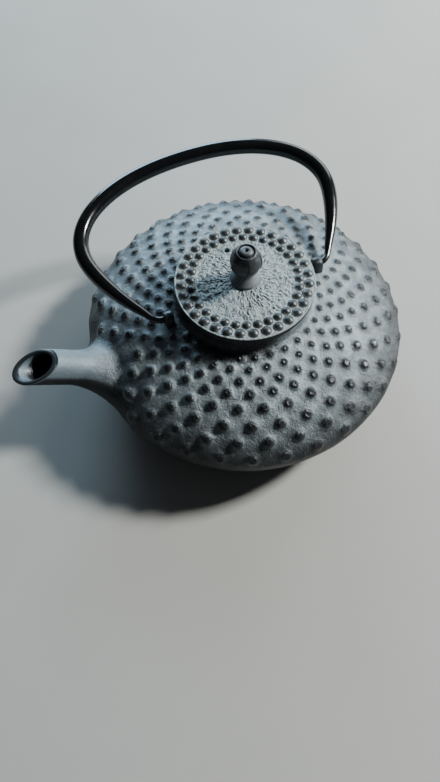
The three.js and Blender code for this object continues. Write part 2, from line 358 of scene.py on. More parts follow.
def ring_piece(
    name: str, profile: np.ndarray, columns: int, material: bpy.types.Material
) -> bpy.types.Object:
    """A turned ring whose profile closes on itself.

    Args:
        name: Name of the piece.
        profile: Array of radius and height in millimetres, not repeating its first point.
        columns: Number of steps round.
        material: Its material.

    Returns:
        The new object.
    """
    draft = MeshDraft()
    draft.hoop(draft.add(turn(profile, around(columns))))
    return draft.finish(name, material)


# ---- material sketching ------------------------------------------------------------------


class Sketch:
    """Short words for the shader nodes of one material."""

    def __init__(self, name: str) -> None:
        """Starts an empty material with a Principled shader.

        Args:
            name: Name of the material.
        """
        self.material = bpy.data.materials.new(name)
        self.material.use_nodes = True
        self.tree = self.material.node_tree
        self.shader = self.tree.nodes["Principled BSDF"]
        self.place = self.tree.nodes.new("ShaderNodeTexCoord").outputs["Object"]

    def link(self, source: Joint, target: Joint) -> None:
        """Joins two sockets."""
        self.tree.links.new(source, target)

    def stretch(self, scale: tuple[float, float, float]) -> Joint:
        """Object coordinates stretched along the axes.

        Args:
            scale: How much each axis is stretched.

        Returns:
            The stretched coordinates' socket.
        """
        node = self.tree.nodes.new("ShaderNodeMapping")
        node.inputs["Scale"].default_value = scale
        self.link(self.place, node.inputs["Vector"])
        return node.outputs["Vector"]

    def noise(
        self,
        cell_mm: float,
        detail: float = 3.0,
        rough: float = 0.55,
        where: Joint | None = None,
        warp: float = 0.0,
    ) -> Joint:
        """A noise pattern.

        Args:
            cell_mm: Size of its largest blobs in millimetres.
            detail: Number of finer octaves.
            rough: Strength of the finer octaves.
            where: Coordinates, or None for the object's own.
            warp: Distortion of the pattern.

        Returns:
            The socket of its value.
        """
        node = self.tree.nodes.new("ShaderNodeTexNoise")
        node.inputs["Scale"].default_value = 1.0 / (cell_mm * MM)
        node.inputs["Detail"].default_value = detail
        node.inputs["Roughness"].default_value = rough
        node.inputs["Distortion"].default_value = warp
        self.link(where or self.place, node.inputs["Vector"])
        return node.outputs["Fac"]

    def rub(self) -> Joint:
        """How far the surface stands proud, from the piece's own shape; negative values mark painted shade,
        and on the knob high values also paint a reflection.
        """
        node = self.tree.nodes.new("ShaderNodeAttribute")
        node.attribute_name = "rub"
        return node.outputs["Fac"]

    def height(self) -> Joint:
        """Height above the base in metres."""
        return self.part_of_place("Z")

    def reach(self) -> Joint:
        """Distance towards the spout in metres."""
        return self.part_of_place("X")

    def part_of_place(self, axis: str) -> Joint:
        """One of the object's coordinates.

        Args:
            axis: Its name, X, Y or Z.

        Returns:
            The coordinate's socket, in metres.
        """
        node = self.tree.nodes.new("ShaderNodeSeparateXYZ")
        self.link(self.place, node.inputs["Vector"])
        return node.outputs[axis]

    def remap(
        self, value: Joint, low: float, high: float, to_low: float = 0.0, to_high: float = 1.0
    ) -> Joint:
        """Eases a value from one range to another.

        Args:
            value: The socket to read.
            low: Value that gives to_low.
            high: Value that gives to_high.
            to_low: Result at the low end.
            to_high: Result at the high end.

        Returns:
            The eased socket.
        """
        node = self.tree.nodes.new("ShaderNodeMapRange")
        node.interpolation_type = "SMOOTHSTEP"
        for key, number in zip(("From Min", "From Max", "To Min", "To Max"), (low, high, to_low, to_high)):
            node.inputs[key].default_value = number
        self.link(value, node.inputs["Value"])
        return node.outputs["Result"]

    def times(self, first: Joint, second: Joint | float) -> Joint:
        """The product of two values."""
        return self.sum(first, second, "MULTIPLY")

    def larger(self, first: Joint, second: Joint | float) -> Joint:
        """The larger of two values."""
        return self.sum(first, second, "MAXIMUM")

    def sway(self, value: Joint, reach: float) -> Joint:
        """A pattern from 0 to 1 turned into a shift to both sides of 0."""
        return self.times(self.sum(value, -0.5), reach)

    def sum(self, first: Joint, second: Joint | float, kind: str = "ADD") -> Joint:
        """One arithmetic step between two values.

        Args:
            first: The first value.
            second: The second value or a plain number.
            kind: Name of the step, such as ADD or MULTIPLY.

        Returns:
            The result's socket.
        """
        node = self.tree.nodes.new("ShaderNodeMath")
        node.operation = kind
        self.link(first, node.inputs[0])
        if isinstance(second, (int, float)):
            node.inputs[1].default_value = second
        else:
            self.link(second, node.inputs[1])
        return node.outputs[0]

    def blend(self, share: Joint, first: Joint | Colour, second: Joint | Colour) -> Joint:
        """Mixes two colours.

        Args:
            share: Socket from 0, all first, to 1, all second.
            first: A colour or a colour socket.
            second: A colour or a colour socket.

        Returns:
            The mixed colour's socket.
        """
        node = self.tree.nodes.new("ShaderNodeMix")
        node.data_type = "RGBA"
        self.link(share, node.inputs[0])
        for socket, value in ((node.inputs[6], first), (node.inputs[7], second)):
            if isinstance(value, tuple):
                socket.default_value = (*value, 1.0)
            else:
                self.link(value, socket)
        return node.outputs[2]

    def bump(self, value: Joint, depth_mm: float, under: Joint | None = None) -> Joint:
        """Bumps the surface by a pattern.

        Args:
            value: Height pattern, from 0 to 1.
            depth_mm: Depth of the pattern in millimetres.
            under: Another bump that this one adds to.

        Returns:
            The bumped normal's socket.
        """
        node = self.tree.nodes.new("ShaderNodeBump")
        node.inputs["Strength"].default_value = 1.0
        node.inputs["Distance"].default_value = depth_mm * MM
        self.link(value, node.inputs["Height"])
        if under is not None:
            self.link(under, node.inputs["Normal"])
        return node.outputs["Normal"]

    def dress(
        self, colour: Joint, roughness: Joint, normal: Joint, metal: float, gloss: float = 0.5
    ) -> bpy.types.Material:
        """Feeds the shader.

        Args:
            colour: Colour socket.
            roughness: Roughness socket.
            normal: Normal socket.
            metal: How metallic it is all over.
            gloss: Specular level all over.

        Returns:
            The finished material.
        """
        self.link(colour, self.shader.inputs["Base Color"])
        self.link(roughness, self.shader.inputs["Roughness"])
        self.link(normal, self.shader.inputs["Normal"])
        self.shader.inputs["Metallic"].default_value = metal
        self.shader.inputs["Specular IOR Level"].default_value = gloss
        return self.material


@dataclass(frozen=True)
class WashedIron:
    """Black cast iron with a pale wash left in the valleys and rubbed off the proud tips, and painted shade
    on the lower body, the spout and the places marked shaded.
    """

    name: str = "washed_iron"
    iron: Colour = (0.02, 0.022, 0.025)
    wash: Colour = (0.32, 0.375, 0.4)
    thin_wash: Colour = (0.17, 0.2, 0.22)
    lid_wash: Colour = (0.35, 0.4, 0.41)
    # painted shade colour of the spout
    spout_shade: Colour = (0.13, 0.175, 0.21)
    lid_from_mm: float = 62.0
    lid_above_mm: float = 66.0
    spout_from_mm: float = 72.0
    spout_to_mm: float = 87.0
    spout_smooth_and_shade_share: float = 0.8
    blotch_mm: float = 9.0
    grit_mm: float = 0.8
    cast_mm: float = 2.6
    speckle: float = 0.75
    ragged: float = 0.85
    rub_start: float = 0.15
    rub_end: float = 0.6
    rub_depth: float = 0.9
    shade_below_mm: float = 30.0
    unshaded_above_mm: float = 53.0
    shade_edge_mm: float = 14.0
    shade_share: float = 0.96
    cast_depth_mm: float = 0.69
    grit_depth_mm: float = 0.46
    rough_wash: float = 0.45
    rough_tip: float = 0.22
    rough_enamel: float = 0.36
    dry_lid: float = 0.16
    metal: float = 0.4

    def build(self) -> bpy.types.Material:
        """Makes the material."""
        sketch = Sketch(self.name)
        blotch = sketch.noise(self.blotch_mm, 4.0, 0.6)
        grit = sketch.noise(self.grit_mm, 3.0, 0.7)
        cast = sketch.noise(self.cast_mm, 4.0, 0.6, warp=0.4)
        rub = sketch.rub()
        # the wash is paler on the lid, above 62 mm; the spout is smoother, and painted shade makes its wash
        # darker and bluer
        on_lid = sketch.remap(sketch.height(), self.lid_from_mm * MM, self.lid_above_mm * MM)
        out_along = (self.spout_from_mm * MM, self.spout_to_mm * MM)
        spout_smooth_and_shade = sketch.remap(sketch.reach(), *out_along, 0.0, self.spout_smooth_and_shade_share)
        wash = sketch.blend(sketch.remap(blotch, 0.3, 0.7), self.thin_wash, self.wash)
        wash = sketch.blend(on_lid, wash, self.lid_wash)
        # painted shade: the spout's wash turns darker and bluer
        wash = sketch.blend(spout_smooth_and_shade, wash, self.spout_shade)
        # grain shows on the rough casting only, less on the smoothed spout and tips
        worn_smooth = sketch.larger(sketch.remap(rub, 0.75, 1.0), spout_smooth_and_shade)
        coarse = sketch.sum(sketch.times(worn_smooth, -0.9), 1.0)
        speck = sketch.times(sketch.remap(grit, 0.48, 0.62, 0.0, self.speckle), coarse)
        wash = sketch.blend(speck, wash, self.thin_wash)
        # bare iron: rubbed tips and the coated inside; painted shade: crevices, gaps and undersides, and the
        # belly and lower shoulder
        edge = sketch.sum(rub, sketch.times(sketch.sway(grit, self.ragged), coarse))
        tips = sketch.remap(edge, self.rub_start, self.rub_end, 0.0, self.rub_depth)
        bare = sketch.larger(tips, sketch.remap(rub, 1.1, 1.6))
        # painted shade: negative rub values leave crevices, gaps and undersides matte black
        shade_black = sketch.remap(sketch.times(edge, -1.0), 0.3, 0.7)
        # painted shade: the iron darkens towards the bottom, fully below about 30 mm and fading out by about
        # 53 mm
        low = sketch.sum(sketch.height(), sketch.sway(blotch, self.shade_edge_mm * MM))
        under = sketch.remap(low, self.shade_below_mm * MM, self.unshaded_above_mm * MM, self.shade_share, 0.0)
        bare = sketch.larger(sketch.larger(bare, shade_black), under)
        colour = sketch.blend(bare, wash, self.iron)
        # tips are polished, and the lid's and spout's wash is dry
        dull = sketch.remap(tips, 0.0, 1.0, self.rough_wash, self.rough_tip)
        dull = sketch.sum(dull, sketch.times(sketch.larger(on_lid, spout_smooth_and_shade), self.dry_lid))
        dull = sketch.sum(dull, sketch.remap(rub, 1.1, 1.7, 0.0, self.rough_enamel - self.rough_wash))
        roughness = sketch.sum(dull, sketch.remap(grit, 0.3, 0.7, -0.06, 0.08))
        normal = sketch.bump(sketch.times(cast, coarse), self.cast_depth_mm)
        normal = sketch.bump(sketch.times(grit, coarse), self.grit_depth_mm, normal)
        return sketch.dress(colour, roughness, normal, metal=self.metal, gloss=0.6)


@dataclass(frozen=True)
class DarkIron:
    """Charcoal iron of the knob, with the wash left on its stem and a painted reflection paling the top of
    its bud.
    """

    name: str = "dark_iron"
    iron: Colour = (0.03, 0.033, 0.037)
    worn: Colour = (0.07, 0.08, 0.09)
    stem_wash: Colour = (0.19, 0.215, 0.225)
    stem_top_mm: float = 74.5
    stem_foot_mm: float = 71.0
    stem_edge_mm: float = 4.0

    def build(self) -> bpy.types.Material:
        """Makes the material."""
        sketch = Sketch(self.name)
        patch = sketch.noise(3.0, 4.0, 0.6)
        grit = sketch.noise(0.45, 3.0, 0.6)
        colour = sketch.blend(sketch.remap(patch, 0.42, 0.72), self.iron, self.worn)
        edge = sketch.sum(sketch.height(), sketch.sway(patch, self.stem_edge_mm * MM))
        stem = sketch.remap(edge, self.stem_foot_mm * MM, self.stem_top_mm * MM, 0.95, 0.0)
        # painted reflection: high rub values pale the top of the inner bud with the stem's wash
        proud = sketch.remap(sketch.rub(), 0.3, 0.9, 0.0, 0.6)
        colour = sketch.blend(sketch.larger(stem, proud), colour, self.stem_wash)
        roughness = sketch.sum(
            sketch.remap(patch, 0.3, 0.7, 0.34, 0.5), sketch.remap(stem, 0.0, 1.0, 0.0, 0.15)
        )
        normal = sketch.bump(grit, 0.05, sketch.bump(patch, 0.12))
        return sketch.dress(colour, roughness, normal, metal=0.2)


@dataclass(frozen=True)
class BlackEnamel:
    """Glossy black coating, slightly uneven, with fine dust and rub marks."""

    name: str = "black_enamel"
    colour: Colour = (0.004, 0.0045, 0.005)
    dusty: Colour = (0.012, 0.013, 0.014)
    gloss: float = 0.13
    dull: float = 0.22

    def build(self) -> bpy.types.Material:
        """Makes the material."""
        sketch = Sketch(self.name)
        smear = sketch.noise(6.0, 4.0, 0.6)
        peel = sketch.noise(1.1, 2.0, 0.5)
        dust = sketch.noise(0.35, 2.0, 0.6)
        colour = sketch.blend(sketch.remap(dust, 0.6, 0.78, 0.0, 0.5), self.colour, self.dusty)
        roughness = sketch.remap(smear, 0.3, 0.7, self.gloss, self.dull)
        normal = sketch.bump(peel, 0.012)
        return sketch.dress(colour, roughness, normal, metal=0.0, gloss=0.6)


@dataclass(frozen=True)
class Steel:
    """Bright sheet steel with a fine grain running round it."""

    name: str
    light: Colour
    dark: Colour
    rough_low: float
    rough_high: float

    def build(self) -> bpy.types.Material:
        """Makes the material."""
        sketch = Sketch(self.name)
        brushed = sketch.noise(1.2, 3.0, 0.6, where=sketch.stretch((0.25, 0.25, 3.0)))
        stain = sketch.noise(8.0, 3.0, 0.55)
        colour = sketch.blend(sketch.remap(stain, 0.35, 0.75), self.light, self.dark)
        roughness = sketch.remap(brushed, 0.3, 0.7, self.rough_low, self.rough_high)
        normal = sketch.bump(brushed, 0.01)
        return sketch.dress(colour, roughness, normal, metal=1.0)


@dataclass(frozen=True)
class Backdrop:
    """Plain pale floor with a faint mottle."""

    name: str = "pale_floor"
    pale: Colour = (0.49, 0.48, 0.46)
    deeper: Colour = (0.45, 0.44, 0.42)

    def build(self) -> bpy.types.Material:
        """Makes the material."""
        sketch = Sketch(self.name)
        mottle = sketch.noise(60.0, 2.0, 0.5)
        colour = sketch.blend(mottle, self.pale, self.deeper)
        roughness = sketch.remap(mottle, 0.0, 1.0, 0.7, 0.8)
        normal = sketch.bump(mottle, 0.01)
        return sketch.dress(colour, roughness, normal, metal=0.0, gloss=0.2)


# ---- the pot -----------------------------------------------------------------------------


@dataclass
class HobnailRings:
    """The rings of pointed hobnails cast on the shoulder."""

    radii: tuple[float, ...] = (38.4, 44.0, 49.6, 55.2, 61.8, 69.2, 76.2, 82.4)
    per_ring: int = 32
    phase: float = math.radians(1.2)
    foot_inner: float = 2.5
    foot_outer: float = 4.3
    rise_inner: float = 1.45
    rise_outer: float = 2.7
    rim_cut: float = 1.0
    stray: float = 0.16
    size_spread: float = 0.04
    rise_spread: float = 0.05
    blunt: float = 0.24
    flare: float = 1.2
    mound_part: float = 0.22
    mound_reach: float = 1.7
    rubbed: float = 0.95
    wear_and_shade_spread: float = 0.38
    seed: int = 11

    def relief(
        self,
        angle: np.ndarray,
        radius: np.ndarray,
        along: np.ndarray,
        ring_along: np.ndarray,
        keep: "SpoutRoot",
    ) -> tuple[np.ndarray, np.ndarray]:
        """Height of the hobnails over the smooth shoulder.

        Args:
            angle: Angle of each point round the pot, in radians.
            radius: Distance of each point from the axis.
            along: Distance of each point along the pot's outline.
            ring_along: The same distance for the middle of each ring.
            keep: The spout's root, where no hobnail stands.

        Returns:
            The height in millimetres, and the dark share from 0 to 1: rubbed tips, widened on the outer
            rings as painted shade.
        """
        rng = np.random.default_rng(self.seed)
        height = np.zeros(np.broadcast(angle, radius).shape)
        share = np.zeros_like(height)
        pitch = TAU / self.per_ring
        last = len(self.radii) - 1
        for ring, middle in enumerate(self.radii):
            outward = ring / last
            foot = self.foot_inner + (self.foot_outer - self.foot_inner) * outward
            rise = self.rise_inner + (self.rise_outer - self.rise_inner) * outward
            if ring == last:
                rise -= self.rim_cut
            start = self.phase + (pitch / 2 if (last - ring) % 2 else 0.0)
            wobble = rng.normal(0.0, 1.0, (self.per_ring, 4))
            turnings = (angle - start) / pitch
            index = np.round(turnings).astype(int) % self.per_ring
            sideways = (turnings - np.round(turnings)) * pitch * radius
            centre_angle = start + np.arange(self.per_ring) * pitch
            stands = keep.allows(centre_angle, middle)
            outwards = along - ring_along[ring] - self.stray * wobble[index, 1]
            away = np.hypot(sideways - self.stray * wobble[index, 0], outwards)
            away = away / (foot * (1.0 + self.size_spread * wobble[index, 2]))
            mound = np.clip(1.0 - (away / self.mound_reach) ** 2, 0.0, 1.0) ** 2
            cone = np.clip(1.0 - (np.hypot(away, self.blunt) - self.blunt) / (1.0 - self.blunt), 0.0, 1.0)
            nail = cone**self.flare * stands[index]
            swell = nail * (1.0 - self.mound_part) + mound * self.mound_part * stands[index]
            height = np.maximum(height, swell * rise * (1.0 + self.rise_spread * wobble[index, 3]))
            # the dark share is rubbed iron on the tips, widened on the outer rings as painted shade of the
            # hobnails' flanks
            share = np.maximum(share, nail ** (self.rubbed - self.wear_and_shade_spread * outward))
        return height, share


@dataclass
class SpoutRoot:
    """The smooth places of the shoulder: under the spout's root and round the two lugs."""

    half_angle: float = math.radians(24.0)
    inner_radius: float = 66.0
    rim_radius: float = 85.0
    lug_x: float = 41.2
    lug_clear: float = 5.6

    def allows(self, angle: np.ndarray, radius: float) -> np.ndarray:
        """Whether hobnails stand at these places.

        Args:
            angle: Angles of the hobnails of one ring.
            radius: Radius of that ring.

        Returns:
            1.0 where a hobnail stands and 0.0 where the surface is smooth.
        """
        turned_in = np.abs((angle + math.pi) % TAU - math.pi)
        x, y = radius * np.cos(angle), radius * np.sin(angle)
        share = np.clip((radius - self.inner_radius) / (self.rim_radius - self.inner_radius), 0.0, 1.0)
        in_root = (radius > self.inner_radius) & (turned_in < self.half_angle * share**0.7)
        near_lug = np.hypot(np.abs(x) - self.lug_x, y) < self.lug_clear
        return 1.0 - np.clip(in_root.astype(float) + near_lug, 0.0, 1.0)


@dataclass
class Pot:
    """The pot's casting: hobnailed shell, collar, spout and lugs, enamelled inside."""

    rim_radius: float = 85.0
    equator: float = 30.0
    rise: float = 31.0
    power: float = 1.64
    base_radius: float = 50.0
    wall: float = 3.6
    floor: float = 4.2
    collar_foot: float = 36.2
    collar_radius: float = 34.2
    collar_top: float = 63.2
    mouth_radius: float = 28.3
    ledge_radius: float = 31.0
    ledge_height: float = 60.2
    columns: int = 640
    tube_radius: float = 8.7
    bore_radius: float = 6.4
    spout_end: tuple[float, float] = (109.9, 58.2)
    mouth_tilt: float = math.radians(11.3)
    spout_stations: int = 121
    round_from: float = 0.2
    tube_from: float = 0.62
    mouth_at: float = 0.86
    root_half_columns: int = 44
    root_low_height: float = 9.0
    root_rings: int = 44
    root_flare: float = 0.75
    neck_rings: int = 25
    bore_rings: int = 22
    bore_reach: float = 0.6
    side_shade_depth: float = 0.85
    nails: HobnailRings = field(default_factory=HobnailRings)
    root: SpoutRoot = field(default_factory=SpoutRoot)

    def __post_init__(self) -> None:
        """Works out the outline once."""
        self.profile = self.outline()
        self.along = lengths(self.profile)
        slope = np.gradient(self.profile, self.along, axis=0)
        self.normal = np.stack([slope[:, 1], -slope[:, 0]], axis=1)
        shoulder = self.profile[:, 1] >= self.equator
        order = np.argsort(self.profile[shoulder, 0])
        self.ring_along = np.interp(
            self.nails.radii, self.profile[shoulder, 0][order], self.along[shoulder][order]
        )

    def shoulder_height(self, radius: np.ndarray | float) -> np.ndarray | float:
        """Height of the smooth shoulder at a radius."""
        share = np.minimum(np.asarray(radius) / self.rim_radius, 1.0)
        return self.equator + self.rise * (1.0 - share**self.power) ** (1.0 / self.power)

    def outline(self) -> np.ndarray:
        """Draws the outside outline from the base's edge up to the foot of the collar.

        Returns:
            Array of radius and height, evenly spaced on the belly and on the shoulder.
        """
        angles = np.linspace(0.0, math.pi / 2, 160)
        belly = np.stack([
            self.base_radius + (self.rim_radius - self.base_radius) * np.sin(angles),
            self.equator * (1.0 - np.cos(angles)),
        ], axis=1)
        radius = self.rim_radius - (self.rim_radius - self.collar_foot) * np.linspace(0.0, 1.0, 600) ** 2.2
        shoulder = np.stack([radius, self.shoulder_height(radius)], axis=1)
        belly_rows = walk(belly.tolist(), 1.0)
        shoulder_rows = walk(shoulder.tolist(), 0.55)
        return soften(np.concatenate([belly_rows[:-1], shoulder_rows]), 6)

    def surface(self, angle: np.ndarray, along: np.ndarray) -> tuple[np.ndarray, np.ndarray]:
        """Points of the shell by angle and distance along its outline.

        Args:
            angle: Angles round the pot.
            along: Distances along the outline from the base's edge.

        Returns:
            The points, and how far each stands proud.
        """
        angle, along = np.broadcast_arrays(np.asarray(angle, float), np.asarray(along, float))
        radius = np.interp(along, self.along, self.profile[:, 0])
        height = np.interp(along, self.along, self.profile[:, 1])
        normal = [np.interp(along, self.along, self.normal[:, axis]) for axis in (0, 1)]
        lift, share = self.nails.relief(angle, radius, along, self.ring_along, self.root)
        radius, height = radius + lift * normal[0], height + lift * normal[1]
        raw = np.stack([radius * np.cos(angle), radius * np.sin(angle), height], axis=-1)
        ripple = 0.10 * lattice_noise(raw, 7.0, 3) + 0.05 * lattice_noise(raw, 2.6, 5)
        fade = smoothstep(0.0, 4.0, along)
        radius = radius + ripple * normal[0] * fade
        height = height + ripple * normal[1] * fade
        points = np.stack([radius * np.cos(angle), radius * np.sin(angle), height], axis=-1)
        return points, share

    def spout_line(self) -> tuple[np.ndarray, np.ndarray]:
        """The spout's centreline and its headings in the plane through the spout.

        Returns:
            Stations as x and z, and unit headings as x and z.
        """
        knots = np.array([
            (58.0, 20.0), (66.0, 24.6), (74.0, 29.6), (81.5, 35.2), (88.5, 41.4),
            (96.0, 47.8), (103.5, 53.4), self.spout_end, (117.0, 64.0),
        ])
        steps = lengths(knots)
        fit = [np.polyfit(steps, knots[:, axis], 5) for axis in (0, 1)]
        where = np.linspace(0.0, steps[-1], self.spout_stations)
        line = np.stack([np.polyval(fit[axis], where) for axis in (0, 1)], axis=1)
        heading = np.gradient(line, axis=0)
        return line, heading / np.linalg.norm(heading, axis=1, keepdims=True)

    def tube(self, turned: np.ndarray, share: np.ndarray, radius: np.ndarray) -> np.ndarray:
        """Rings of the spout square to its centreline.

        Args:
            turned: Angle of each column round the tube, 0 on its upper side.
            share: How far each ring is along the centreline, from 0 to 1.
            radius: Radius of each ring.

        Returns:
            Array of rings by columns by x, y, z.
        """
        line, heading = self.spout_line()
        reach = np.linspace(0.0, 1.0, self.spout_stations)
        centre = resample(line, reach, share)
        ahead = resample(heading, reach, share)
        ahead /= np.linalg.norm(ahead, axis=1, keepdims=True)
        up = np.stack([-ahead[:, 1], ahead[:, 0]], axis=1)
        cos, sin = np.cos(turned)[None, :], np.sin(turned)[None, :]
        ring = radius[:, None]
        x = centre[:, :1] + up[:, :1] * ring * cos
        z = centre[:, 1:] + up[:, 1:] * ring * cos
        y = np.broadcast_to(ring * sin, x.shape)
        return np.stack([x, y, z], axis=2)

    def to_mouth(self, turned: np.ndarray, radius: float, lift: float) -> np.ndarray:
        """One ring where the tube of a radius meets a plane along the slanting mouth.

        Args:
            turned: Angle of each column round the tube.
            radius: Radius of the tube there.
            lift: Height of the plane over the mouth's middle.

        Returns:
            Array of columns by x, y, z.
        """
        _, heading = self.spout_line()
        index = int(self.mouth_at * (self.spout_stations - 1))
        ahead = heading[index] / np.linalg.norm(heading[index])
        up = np.array([-ahead[1], ahead[0]])
        normal = np.array([math.sin(self.mouth_tilt), math.cos(self.mouth_tilt)])
        middle = np.array(self.spout_end) + normal * lift
        start = np.array(self.spout_end)[None, :] + up[None, :] * (radius * np.cos(turned))[:, None]
        travel = ((middle - start) @ normal) / (ahead @ normal)
        point = start + travel[:, None] * ahead
        return np.stack([point[:, 0], radius * np.sin(turned), point[:, 1]], axis=1)

    def build(self, iron: bpy.types.Material) -> bpy.types.Object:
        """Makes the whole casting as one closed skin.

        Args:
            iron: The washed iron finish.

        Returns:
            The finished piece, riding on the pot.
        """
        draft = MeshDraft()
        angles = around(self.columns)
        base_rows = draft.add(turn(walk([(4.0, 0.0), (self.base_radius - 1.5, 0.0)], 4.0), angles))
        draft.fan(base_rows[0], np.zeros(3))
        draft.skin(base_rows)
        shell, share = self.surface(angles[None, :], self.along[:, None])
        # painted shadow: the lid's shadow on the shoulder by the collar, strongest on the side turned from
        # the light
        lid_shadow_band = smoothstep(44.0, 37.0, self.profile[:, :1]) * (self.along[:, None] > 60.0)
        share = np.maximum(share, lid_shadow_band * shaded_side(angles)[None, :] * self.side_shade_depth)
        rows = draft.add(shell, share)
        draft.strip(base_rows[-1], rows[0])
        low_row, high_row = self.root_rows()
        half = self.root_half_columns
        outside = np.arange(half, self.columns - half + 1) % self.columns
        for row in range(len(rows) - 1):
            if low_row <= row < high_row:
                draft.strip(rows[row][outside], rows[row + 1][outside], closed=False)
            else:
                draft.strip(rows[row], rows[row + 1])
        collar_rows = self.collar_rows(draft, angles)
        draft.strip(rows[-1], collar_rows[0])
        draft.skin(collar_rows)
        draft.halve(collar_rows[-1], self.inside_rows(draft, angles[::2])[0])
        self.grow_spout(draft, self.root_loop(rows, low_row, high_row))
        return mount(draft.finish("pot_shell", iron), Body.POT, Slot.WASHED_IRON, "pot_body")

    def root_rows(self) -> tuple[int, int]:
        """Finds the hole in the shell that the spout grows from.

        Returns:
            Its lowest and its highest row, an even number of rows apart.
        """
        belly = self.profile[: len(self.profile) // 2, 1]
        low_row = int(np.searchsorted(belly, self.root_low_height))
        high_row = int(np.where(self.profile[:, 0] > self.root.inner_radius)[0][-1])
        return low_row, high_row + (high_row - low_row) % 2

    def collar_rows(self, draft: MeshDraft, angles: np.ndarray) -> np.ndarray:
        """Adds the collar, from the shoulder up to the inner edge of its flat top.

        Args:
            draft: The casting's draft.
            angles: Angles of the columns.

        Returns:
            Point numbers of the rows.
        """
        side, top = self.collar_radius, self.collar_top
        collar = np.concatenate([
            walk([
                (side + 1.0, top - 6.15), (side + 0.4, top - 5.5), (side + 0.1, top - 4.4),
                (side, top - 3.2), (side, top - 0.5), (side - 0.3, top - 0.1), (side - 0.7, top),
            ], 0.6),
            walk([(side - 1.6, top), (self.ledge_radius + 0.4, top)], 0.8),
        ])
        # painted shade: the collar's top, in the gap under the lid, and its side turned from the light are
        # darkened
        lid_gap_shade = smoothstep(top - 1.6, top - 0.6, collar[:, 1:])
        shade_marks = np.maximum(lid_gap_shade, shaded_side(angles)[None, :]) * self.side_shade_depth
        return draft.add(turn(collar, angles), shade_marks)

    def inside_rows(self, draft: MeshDraft, angles: np.ndarray) -> np.ndarray:
        """Adds the ledge, the mouth and the hollow, from the collar's top down to the floor.

        Args:
            draft: The casting's draft.
            angles: Angles of the coarse columns.

        Returns:
            Point numbers of the rows.
        """
        ledge, mouth, height = self.ledge_radius, self.mouth_radius, self.ledge_height
        neck = [
            (ledge, self.collar_top - 0.2), (ledge, height + 0.2), (ledge - 0.2, height),
            (mouth + 0.3, height), (mouth, height - 0.4), (mouth, height - 4.7), (mouth + 1.0, height - 6.1),
        ]
        under = self.profile[::-1] - self.wall * self.normal[::-1]
        keep = (under[:, 0] > ledge) & (under[:, 1] > self.floor + 0.4)
        floor = [(49.0, self.floor + 0.1), *((radius, self.floor) for radius in (44.0, 30.0, 14.0, 4.0))]
        line = np.concatenate([np.array(neck), under[keep][::3], np.array(floor)])
        coat = np.full((len(line), len(angles)), ENAMELLED)
        # painted shade: the ledge and the top of the mouth, in the gap under the lid, are matte black
        coat[: len(neck) - 2] = PAINTED_SHADE
        rows = draft.add(turn(line, angles), coat)
        draft.skin(rows)
        draft.fan(rows[-1], np.array([0.0, 0.0, self.floor]))
        return rows

    def root_loop(self, rows: np.ndarray, low_row: int, high_row: int) -> dict[str, np.ndarray]:
        """The loop of points round the hole that the spout grows from.

        Args:
            rows: Point numbers of the shell's rows.
            low_row: Lowest row of the hole.
            high_row: Highest row of the hole.

        Returns:
            Point numbers, angles, distances along the outline and angles round the tube.
        """
        half = self.root_half_columns
        span = np.arange(-half, half + 1)
        upward = np.arange(low_row, high_row + 1)
        wide, tall = len(span) - 1, len(upward) - 1
        column = np.concatenate([span[:-1], np.full(tall, half), span[::-1][:-1], np.full(tall, -half)])
        row = np.concatenate([
            np.full(wide, high_row), upward[::-1][:-1], np.full(wide, low_row), upward[:-1]
        ])
        middle = (self.along[low_row] + self.along[high_row]) / 2
        reach = (self.along[high_row] - self.along[low_row]) / 2
        across, above = column / half, (self.along[row] - middle) / reach
        return {
            "numbers": rows[row, column % self.columns],
            "angle": column * TAU / self.columns,
            "along": self.along[row],
            "turned": np.arctan2(across, above),
            "middle": np.array(middle),
        }

    def root_skin(self, loop: dict[str, np.ndarray], steps: np.ndarray) -> tuple[np.ndarray, np.ndarray]:
        """Rings on the shell that shrink from the root loop to an oval about its middle.

        Args:
            loop: The root loop of the shell.
            steps: How far each ring has shrunk, from 0 to 1.

        Returns:
            The points, and how far each stands proud.
        """
        turned, middle = loop["turned"], loop["middle"]
        shrink = 1.0 - 0.55 * steps[:, None]
        oval = smoothstep(0.0, 0.4, steps)[:, None]
        half_angle, half_along = np.abs(loop["angle"]).max(), np.abs(loop["along"] - middle).max()
        across = (loop["angle"] / half_angle)[None, :] * (1.0 - oval) + np.sin(turned)[None, :] * 0.92 * oval
        above = ((loop["along"] - middle) / half_along)[None, :] * (1.0 - oval)
        above = above + np.cos(turned)[None, :] * 0.92 * oval
        return self.surface(across * half_angle * shrink, middle + above * half_along * shrink)

    def grow_spout(self, draft: MeshDraft, loop: dict[str, np.ndarray]) -> None:
        """Grows the spout from its root loop, rolls its lip over and runs its bore back down.

        Args:
            draft: The casting's draft.
            loop: The root loop of the shell.
        """
        turned = loop["turned"]
        # the root: the shell's skin turns into a flared tube
        steps = np.arange(1, self.root_rings + 1) / self.root_rings
        ease = steps**3 * (steps * (6.0 * steps - 15.0) + 10.0)
        skin, share = self.root_skin(loop, steps)
        flared = self.tube_radius * (1.0 + self.root_flare * (1.0 - steps) ** 1.6)
        grown = self.tube(turned, self.round_from + (self.tube_from - self.round_from) * steps, flared)
        rings = skin * (1.0 - ease[:, None, None]) + grown * ease[:, None, None]
        # painted shade: the underside of the spout's root and neck is matte black
        below = 1.1 * smoothstep(0.75, -0.35, np.cos(turned) - 0.6 * (1.0 - steps[:, None]))
        share = share * (1.0 - ease[:, None])
        share = np.where(share > 0.25, share, share - below * smoothstep(0.0, 0.3, steps)[:, None])
        root_rows = draft.add(rings, share)
        draft.strip(loop["numbers"], root_rows[0])
        draft.skin(root_rows)
